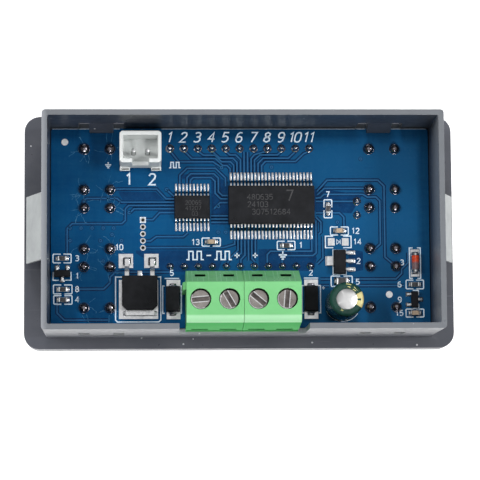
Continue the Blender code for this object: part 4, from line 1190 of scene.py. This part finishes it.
def build_gull_chip(node, count, pitch, lead_width, body_size, pad_reach, dimple, marking):
    """A chip body with drafted sides, its leads on long soldered pads, and plain digits for marking."""
    low, high = node_box(node)
    centre = 0.5 * (low + high)
    half_x, half_y = 0.5 * body_size[0], 0.5 * body_size[1]
    top, seat = high.z, BOARD_TOP + 0.05
    middle = 0.5 * (seat + top) + 0.05
    bm = bmesh.new()
    x, y = (centre.x - half_x, centre.x + half_x), (centre.y - half_y, centre.y + half_y)
    add_box(bm, x, y, (middle - 0.02, top), 0.06, taper=0.12)
    lower_x, lower_y = (x[0] + 0.1, x[1] - 0.1), (y[0] + 0.1, y[1] - 0.1)
    add_box(bm, lower_x, lower_y, (seat + 0.08, middle + 0.02), 0.04)
    body = make_piece(f"{node}_body", bm, ["epoxy"], replaces=(node,))
    carve_dimple(body, (x[0] + dimple[0], y[0] + dimple[1]), dimple[2], top)

    bm = bmesh.new()
    outline = lead_outline(half_y, high.y - low.y, seat - 0.02, middle, 0.14)
    for side in (-1, 1):
        leads = [(centre.y + side * u, v) for u, v in outline]
        pad_y = sorted(centre.y + side * reach for reach in pad_reach)
        for index in range(count // 2):
            lead_x = centre.x + (index - 0.5 * (count // 2 - 1)) * pitch
            faces = add_prism(bm, leads, lead_x - 0.5 * lead_width, lead_x + 0.5 * lead_width, axis="x")
            bm.normal_update()
            for face in faces:
                face.material_index = 2 if abs(face.normal.z) < 0.85 else 0
            pad_x = (lead_x - 0.5 * lead_width - 0.04, lead_x + 0.5 * lead_width + 0.04)
            add_box(bm, pad_x, pad_y, (BOARD_TOP, BOARD_TOP + 0.08), 0.025, look=1, segments=2)
    make_piece(f"{node}_leads", bm, ["tin", "pad", "lead_shade"])

    bm = bmesh.new()
    z = (top - 0.01, top + 0.008)
    for text, (x, y), height in marking:
        add_glyphs(bm, text, (centre.x + x, centre.y + y), height, 0.13 * height, spacing=0.22, z=z)
    make_piece(f"{node}_marking", bm, ["mark"])


def carve_dimple(obj, centre, radius, top):
    """Sink a shallow round mark into a moulded top."""
    bm = bmesh.new()
    profile = [(0.0, top - 0.07), (radius * 0.8, top - 0.07), (radius, top + 0.3), (0.0, top + 0.3)]
    add_turned(bm, profile, centre, 20)
    carve(obj, bm)


def carve(obj, bm):
    """Cut a shape out of a finished piece."""
    bmesh.ops.recalc_face_normals(bm, faces=bm.faces)
    bm.transform(Matrix.Scale(MM, 4))
    mesh = bpy.data.meshes.new("carving")
    bm.to_mesh(mesh)
    bm.free()
    tool = bpy.data.objects.new("carving", mesh)
    bpy.context.scene.collection.objects.link(tool)
    modifier = obj.modifiers.new("carving", "BOOLEAN")
    obj.modifiers.move(len(obj.modifiers) - 1, max(0, len(obj.modifiers) - 2))
    modifier.operation = "DIFFERENCE"
    modifier.object = tool
    bpy.context.view_layer.update()
    shape = obj.evaluated_get(bpy.context.evaluated_depsgraph_get())
    cut_mesh = bpy.data.meshes.new_from_object(shape)
    obj.modifiers.clear()
    obj.data = cut_mesh
    bpy.data.objects.remove(tool)
    bpy.data.meshes.remove(mesh)


def build_power_transistor():
    """A power package on its tab: body, two leads and a cut middle lead, all soldered down."""
    low, high = node_box("power_transistor")
    body_x, body_y = (-21.5, -15.1), (-15.0, -8.85)
    bm = bmesh.new()
    nip = 0.85
    outline = [(body_x[0] + nip, body_y[0]), (body_x[1] - nip, body_y[0]), (body_x[1], body_y[0] + nip),
               (body_x[1], body_y[1]), (body_x[0], body_y[1]), (body_x[0], body_y[0] + nip)]
    faces = add_prism(bm, outline, BOARD_TOP + 0.25, high.z)
    bm.normal_update()
    round_edges(bm, faces, 0.12, 3)
    body = make_piece("power_transistor_body", bm, ["epoxy"],
                      replaces=("power_transistor",))
    carve_dimple(body, (body_x[1] - 1.35, body_y[0] + 1.5), 0.55, high.z)
    bm = bmesh.new()
    middle_x = 0.5 * (body_x[0] + body_x[1])
    tab_x, tab_z = (body_x[0] + 0.55, body_x[1] - 0.55), (BOARD_TOP + 0.05, BOARD_TOP + 0.55)
    add_box(bm, tab_x, (low.y, -14.2), tab_z, 0.08)
    for x in (middle_x - 2.31, middle_x + 2.26):
        lead = [(-9.2, 12.9), (-8.3, 12.9), (-7.9, 12.75), (-7.6, 12.4), (-7.35, 11.98), (-6.95, 11.85),
                (high.y, 11.85), (high.y, 12.25), (-7.05, 12.28), (-7.25, 12.5), (-7.55, 12.98), (-8.0, 13.3),
                (-9.2, 13.35)]
        faces = add_prism(bm, lead, x - 0.41, x + 0.41, axis="x")
        bm.normal_update()
        round_edges(bm, faces, 0.04, 1)
    add_box(bm, (middle_x - 0.42, middle_x + 0.42), (-9.2, -7.95), (12.85, 13.3), 0.05)
    make_piece("power_transistor_leads", bm, ["tin"])
    bm = bmesh.new()
    for x in (middle_x - 2.31, middle_x + 2.26):
        add_mound(bm, (x, -6.1), (1.5, 1.5), BOARD_TOP + 0.03, 0.34, steps=8, power=3.0)
    add_mound(bm, (middle_x, -15.55), (6.2, 0.9), BOARD_TOP + 0.03, 0.2, steps=10)
    make_piece("power_transistor_solder", bm, ["fillet"])


def build_power_diodes():
    for side, name in ((-1, "power_diode_left"), (1, "power_diode_right")):
        low, high = node_box(name)
        centre = 0.5 * (low + high)
        bm = bmesh.new()
        add_box(bm, (low.x, high.x), (-15.35, -10.65), (12.2, high.z), 0.09, taper=0.16)
        add_box(bm, (low.x + 0.1, high.x - 0.1), (-15.1, -11.0), (11.75, 12.3), 0.05)
        make_piece(f"{name}_body", bm, ["epoxy"], replaces=(name,))
        bm = bmesh.new()
        for edge in (-1, 1):
            outer, tip = centre.y + edge * 2.55, centre.y + edge * 1.3
            bend = outer - edge * 0.25
            outline = [(tip, 12.05), (bend, 12.05), (bend, 12.6), (outer, 12.45), (outer, 11.68), (tip, 11.68)]
            faces = add_prism(bm, outline, centre.x - 0.75, centre.x + 0.75, axis="x")
            bm.normal_update()
            round_edges(bm, faces, 0.04, 1)
        make_piece(f"{name}_leads", bm, ["tin"])
        bm = bmesh.new()
        for edge in (-1, 1):
            add_mound(bm, (centre.x, centre.y + edge * 2.7), (1.25, 0.5), BOARD_TOP + 0.03, 0.3)
        make_piece(f"{name}_solder", bm, ["joint"])


def build_regulator():
    high = node_box("voltage_regulator")[1]
    bm = bmesh.new()
    add_box(bm, (16.75, 19.05), (-8.55, -4.1), (12.2, high.z), 0.08, taper=0.12)
    add_box(bm, (16.8, 19.0), (-8.5, -4.15), (11.72, 12.25), 0.04)
    body = make_piece("voltage_regulator_body", bm, ["epoxy"],
                      replaces=("voltage_regulator",))
    carve_dimple(body, (18.5, -8.0), 0.25, high.z)
    bm = bmesh.new()
    add_box(bm, (15.55, 17.2), (-6.95, -5.25), (11.66, 12.06), 0.06)
    for y in (-7.62, -6.1, -4.58):
        add_box(bm, (18.8, 20.3), (y - 0.24, y + 0.24), (11.66, 12.06), 0.05)
    make_piece("voltage_regulator_leads", bm, ["tin"])
    bm = bmesh.new()
    add_box(bm, (15.35, 16.6), (-6.95, -5.25), (BOARD_TOP, BOARD_TOP + 0.06), 0.03)
    for y in (-7.62, -6.1, -4.58):
        add_box(bm, (19.4, 20.75), (y - 0.36, y + 0.36), (BOARD_TOP, BOARD_TOP + 0.06), 0.03)
        add_mound(bm, (20.3, y), (0.7, 0.56), BOARD_TOP + 0.05, 0.16, steps=4)
    make_piece("voltage_regulator_solder", bm, ["pad"])


def build_small_transistors():
    """Three-lead packages; each lead foot is (u, v) across and along the package."""
    for node, centre, single in (
        ("small_transistor_left", (-32.3, -8.3), (0, -1)),
        ("small_transistor_right", (31.47, -13.15), (1, 0)),
    ):
        along = Vector(single)
        across = Vector((-along.y, along.x))
        top = node_box(node)[1].z

        def spread(low, high):
            ends = [Vector(centre) + across * u + along * v for u, v in (low, high)]
            return sorted(end.x for end in ends), sorted(end.y for end in ends)

        bm = bmesh.new()
        x, y = spread((-1.45, -0.65), (1.45, 0.65))
        add_box(bm, x, y, (12.1, top), 0.05, taper=0.08)
        add_box(bm, x, y, (11.72, 12.12), 0.03)
        make_piece(f"{node}_body", bm, ["epoxy"], replaces=(node,))
        bm = bmesh.new()
        for u, v in ((0.0, 1.2), (-0.95, -1.2), (0.95, -1.2)):
            x, y = spread((u - 0.2, v), (u + 0.2, 0.5 * v))
            add_box(bm, x, y, (11.66, 11.82), 0.03)
            x, y = spread((u - 0.2, 0.72 * v), (u + 0.2, 0.5 * v))
            add_box(bm, x, y, (11.7, 12.2), 0.03)
            foot = Vector(centre) + across * u + along * v
            add_mound(bm, foot, (0.8, 0.8), BOARD_TOP + 0.03, 0.16, look=1, steps=4)
        make_piece(f"{node}_leads", bm, ["tin", "fillet"])


def build_chip_part(name, centre, length, width, upright, kind, replaces=(), height=0.5):
    """A chip resistor or a ceramic capacitor, with plated ends and its solder."""
    seat = BOARD_TOP + 0.05
    half, cap = 0.5 * length, 0.3

    def spread(u, v):
        return (
            ((centre[0] + v[0], centre[0] + v[1]), (centre[1] + u[0], centre[1] + u[1]))
            if upright
            else ((centre[0] + u[0], centre[0] + u[1]), (centre[1] + v[0], centre[1] + v[1]))
        )

    across = (-0.5 * width, 0.5 * width)
    bm = bmesh.new()
    if kind == "resistor":
        x, y = spread((-half + 0.05, half - 0.05), across)
        add_box(bm, x, y, (seat, seat + height - 0.08), 0.02, look=1)
        x, y = spread((cap - half - 0.02, half - cap + 0.02), (across[0] + 0.03, across[1] - 0.03))
        add_box(bm, x, y, (seat + height - 0.1, seat + height - 0.02), 0.02, look=0)
    else:
        x, y = spread((-half + 0.05, half - 0.05), across)
        add_box(bm, x, y, (seat, seat + height), 0.05, look=0)
    for side in (-1, 1):
        ends = sorted((side * half, side * (half - cap)))
        x, y = spread(ends, (across[0] - 0.02, across[1] + 0.02))
        add_box(bm, x, y, (seat - 0.02, seat + height), 0.05, look=2)
        x, y = spread((side * (half + 0.18) - 0.28, side * (half + 0.18) + 0.28), across)
        middle = (0.5 * (x[0] + x[1]), 0.5 * (y[0] + y[1]))
        add_mound(bm, middle, (x[1] - x[0], y[1] - y[0] + 0.15), BOARD_TOP + 0.02, 0.24, look=3)
    faces = "resistor" if kind == "resistor" else "capacitor_tan"
    make_piece(name, bm, [faces, "alumina", "tin", "fillet"], replaces=replaces)


def build_chip_parts():
    sizes = {"resistor_4": (2.0, 1.25, False), "resistor_6": (1.6, 0.8, True)}
    for number in range(1, 8):
        node = f"resistor_{number}"
        centre = node_centre(node)
        length, width, upright = sizes.get(node, (1.6, 0.8, False))
        build_chip_part(f"chip_{node}", (centre.x, centre.y), length, width, upright, "resistor", (node,))
    for number, centre in enumerate(((-5.37, -2.6), (17.95, -0.62), (31.52, -15.62)), start=1):
        build_chip_part(f"ceramic_capacitor_{number}", centre, 1.6, 0.8, False, "capacitor", height=0.8)


def build_glass_diode():
    low, high = node_box("zener_diode")
    centre = 0.5 * (low + high)
    lay = Matrix.Translation(centre) @ Matrix.Rotation(math.radians(90.0), 4, "X")
    half, radius = 0.5 * (high.y - low.y), 0.7
    bm = bmesh.new()
    glass = [(0.0, 0.4 - half), (radius - 0.08, 0.4 - half), (radius, 0.52 - half), (radius, half - 0.52),
             (radius - 0.08, half - 0.4), (0.0, half - 0.4)]
    add_turned(bm, glass, (0.0, 0.0), 24)
    bm.transform(lay)
    make_piece("glass_diode_tube", bm, ["diode_glass"], replaces=("zener_diode",))
    bm = bmesh.new()
    for side in (-1, 1):
        ends = [(0.0, side * half), (radius - 0.04, side * half), (radius + 0.04, side * (half - 0.06)),
                (radius + 0.04, side * (half - 0.44)), (radius - 0.02, side * (half - 0.5)),
                (0.0, side * (half - 0.5))]
        add_turned(bm, ends, (0.0, 0.0), 24)
    bm.transform(lay)
    for side in (-1, 1):
        y = sorted(centre.y + side * (half + reach) for reach in (-0.55, 0.75))
        add_box(bm, (centre.x - 0.8, centre.x + 0.8), y, (BOARD_TOP, BOARD_TOP + 0.06), 0.03, look=1)
        add_mound(bm, (centre.x, centre.y + side * half), (1.3, 0.6), BOARD_TOP + 0.05, 0.4, look=2)
    make_piece("glass_diode_ends", bm, ["tin", "pad", "fillet"])


def build_capacitor():
    """The can: bung, shrunk sleeve that curls over the top edge, and the scored aluminium top."""
    low, high = node_box("capacitor")
    centre = ((low.x + high.x) / 2, (low.y + high.y) / 2)
    radius, base, top = 0.5 * (high.x - low.x), BOARD_TOP + 0.2, high.z
    disc_radius = 1.86
    bm = bmesh.new()
    sleeve = [(0.0, base), (radius - 0.4, base), (radius - 0.14, base + 0.08), (radius, base + 0.35),
              (radius, base + 0.9), (radius - 0.18, base + 1.05), (radius - 0.22, base + 1.25),
              (radius - 0.14, base + 1.45), (radius, base + 1.7), (radius, top - 0.5),
              (radius - 0.06, top - 0.28), (radius - 0.2, top - 0.12), (radius - 0.45, top - 0.03), (radius - 0.7, top),
              (disc_radius + 0.06, top - 0.03), (disc_radius, top - 0.09), (disc_radius, top - 0.3),
              (0.0, top - 0.3)]
    add_turned(bm, sleeve, centre, 64)
    make_piece("capacitor_sleeve", bm, ["sleeve"], replaces=("capacitor",))
    bm = bmesh.new()
    edge = disc_radius - 0.01
    disc = [(0.0, top - 0.32), (edge, top - 0.32), (edge, top - 0.13), (edge - 0.1, top - 0.08),
            (0.0, top - 0.08)]
    add_turned(bm, disc, centre, 48)
    can = make_piece("capacitor_top", bm, ["aluminium"])
    bm = bmesh.new()
    reach, half = 1.6, 0.07
    arms = [(reach, -half), (reach, half), (half, half), (half, reach), (-half, reach), (-half, half),
            (-reach, half), (-reach, -half), (-half, -half), (-half, -reach), (half, -reach), (half, -half)]
    turn = Matrix.Rotation(math.radians(30.0), 2)
    placed = [turn @ Vector(arm) for arm in arms]
    add_prism(bm, [(centre[0] + arm.x, centre[1] + arm.y) for arm in placed], top - 0.15, top + 0.2)
    carve(can, bm)
    bm = bmesh.new()
    bung = [(0.0, base - 0.15), (radius - 0.5, base - 0.15), (radius - 0.4, base + 0.02), (0.0, base + 0.02)]
    add_turned(bm, bung, centre, 32)
    make_piece("capacitor_bung", bm, ["black_rubber_and_slot_shade"])
    bm = bmesh.new()
    # Painted gold glints on the curled lip of the sleeve, one of them a small cross.
    for line in (((-0.1, 2.7), (0.35, 2.64), (0.78, 2.5)), ((0.15, 2.2), (0.5, 2.2), (0.6, 1.95)),
                 ((1.3, 2.15), (1.6, 1.75), (1.9, 1.4)), ((1.05, 1.75), (1.6, 1.45)),
                 ((-1.15, -2.0), (-0.65, -1.98)), ((-0.95, -1.75), (-0.8, -2.25))):
        add_ribbon(bm, [(centre[0] + u, centre[1] + v) for u, v in line], 0.13, (top - 0.2, top - 0.005))
    make_piece("capacitor_gold_glints", bm, ["gold_glint"])


def build_socket():
    rounded_copy("control_socket", "control_socket_shell", "nylon", 0.12)
    low, high = node_box("control_socket")
    # Painted shade: thin black plates at both ends of the socket stand for the dark insides of its slots.
    bm = bmesh.new()
    for x in ((low.x + 0.3, low.x + 1.65), (high.x - 1.65, high.x - 0.3)):
        add_box(bm, x, (low.y + 0.14, low.y + 0.34), (12.55, 12.64), 0.02)
        add_box(bm, x, (low.y - 0.012, low.y + 0.1), (12.05, 12.3), 0.02)
    make_piece("control_socket_slot_shade", bm, ["black_rubber_and_slot_shade"])
    for number in (1, 2):
        low, high = node_box(f"control_pin_{number}")
        bm = bmesh.new()
        add_box(bm, (low.x, high.x), (low.y, high.y), (low.z, high.z), 0.14, segments=2)
        make_piece(f"control_post_{number}", bm, ["tin"],
                   replaces=(f"control_pin_{number}",))


# ---------------------------------------------------------------- setting


def build_stage():
    """A pale floor, soft lights and a dim, even surround."""
    bm = bmesh.new()
    bmesh.ops.create_grid(bm, x_segments=1, y_segments=1, size=4.0)
    mesh = bpy.data.meshes.new("floor")
    bm.to_mesh(mesh)
    bm.free()
    floor = bpy.data.objects.new("floor", mesh)
    floor.location.z = cad_box[0].z - 0.0002
    bpy.context.scene.collection.objects.link(floor)
    paper = Look("floor_paper", (0.93, 0.93, 0.93), 0.7, Emission_Strength=0.6)
    paper.shader.inputs["Emission Color"].default_value = (1.0, 1.0, 1.0, 1.0)
    mesh.materials.append(paper.material)

    add_area_light("left_soft", (-0.8, 0.2, 0.95), (0.0, 0.0, 0.0), 0.4, 6.9, glints=False)
    add_area_light("right_soft", (0.8, 0.0, 0.95), (0.0, 0.0, 0.0), 0.35, 6.9)
    add_area_light("front_soft", (0.1, -0.9, 0.9), (0.0, 0.0, 0.0), 0.35, 6.6)
    add_area_light("back_soft", (-0.1, 0.9, 1.0), (0.0, 0.0, 0.0), 0.4, 6.1, glints=False)
    add_area_light("overhead_card", (0.04, 0.1, 1.2), (0.0, 0.0, 0.0), 0.9, 1.9)

    world = bpy.data.worlds.new("surround")
    world.use_nodes = True
    world.node_tree.nodes["Background"].inputs["Color"].default_value = (0.9, 0.93, 1.0, 1.0)
    world.node_tree.nodes["Background"].inputs["Strength"].default_value = 0.1
    bpy.context.scene.world = world


def add_area_light(name, place, target, size, watts, glints=True):
    light = bpy.data.lights.new(name, "AREA")
    light.shape = "SQUARE"
    light.size = size
    light.energy = watts
    lamp = bpy.data.objects.new(name, light)
    lamp.location = place
    lamp.visible_glossy = glints
    lamp.rotation_euler = (Vector(target) - Vector(place)).to_track_quat("-Z", "Y").to_euler()
    bpy.context.scene.collection.objects.link(lamp)


def build_camera():
    data = bpy.data.cameras.new("camera")
    data.sensor_width = 36.0
    data.lens = 173.85
    data.clip_start = 0.01
    camera = bpy.data.objects.new("camera", data)
    camera.location = (-0.01798, -0.04923, 0.42896)
    camera.rotation_euler = tuple(math.radians(turn) for turn in (6.435, -2.405, -0.385))
    bpy.context.scene.collection.objects.link(camera)
    bpy.context.scene.camera = camera
    bpy.context.scene.view_settings.view_transform = "Standard"


def main():
    rng = random.Random(41)
    keep_node("circuit_board", "board")
    build_housing()
    build_front()
    build_tracks()
    build_board_marks(rng)
    build_pads()
    build_silkscreen()
    build_switch_joints(rng)
    build_display_joints(rng)
    build_terminals()
    build_gull_chip("controller_chip", 20, 0.65, 0.24, (6.5, 4.3), (3.0, 4.33), (0.7, 0.7, 0.28),
                    (("20065", (0.2, 0.75), 0.72), ("41207", (0.2, -0.25), 0.72), ("03", (0.5, -1.25), 0.72)))
    build_gull_chip("display_chip", 48, 0.635, 0.27, (15.7, 7.1), (4.7, 6.1), (1.0, 1.0, 0.35),
                    (("480635", (-2.1, 1.35), 0.95), ("24103", (-2.5, 0.0), 0.95),
                     ("307512684", (-0.1, -1.35), 0.95), ("7", (3.3, 1.6), 1.9)))
    build_power_transistor()
    build_power_diodes()
    build_regulator()
    build_small_transistors()
    build_chip_parts()
    build_glass_diode()
    build_capacitor()
    build_socket()
    build_stage()
    build_camera()


main()
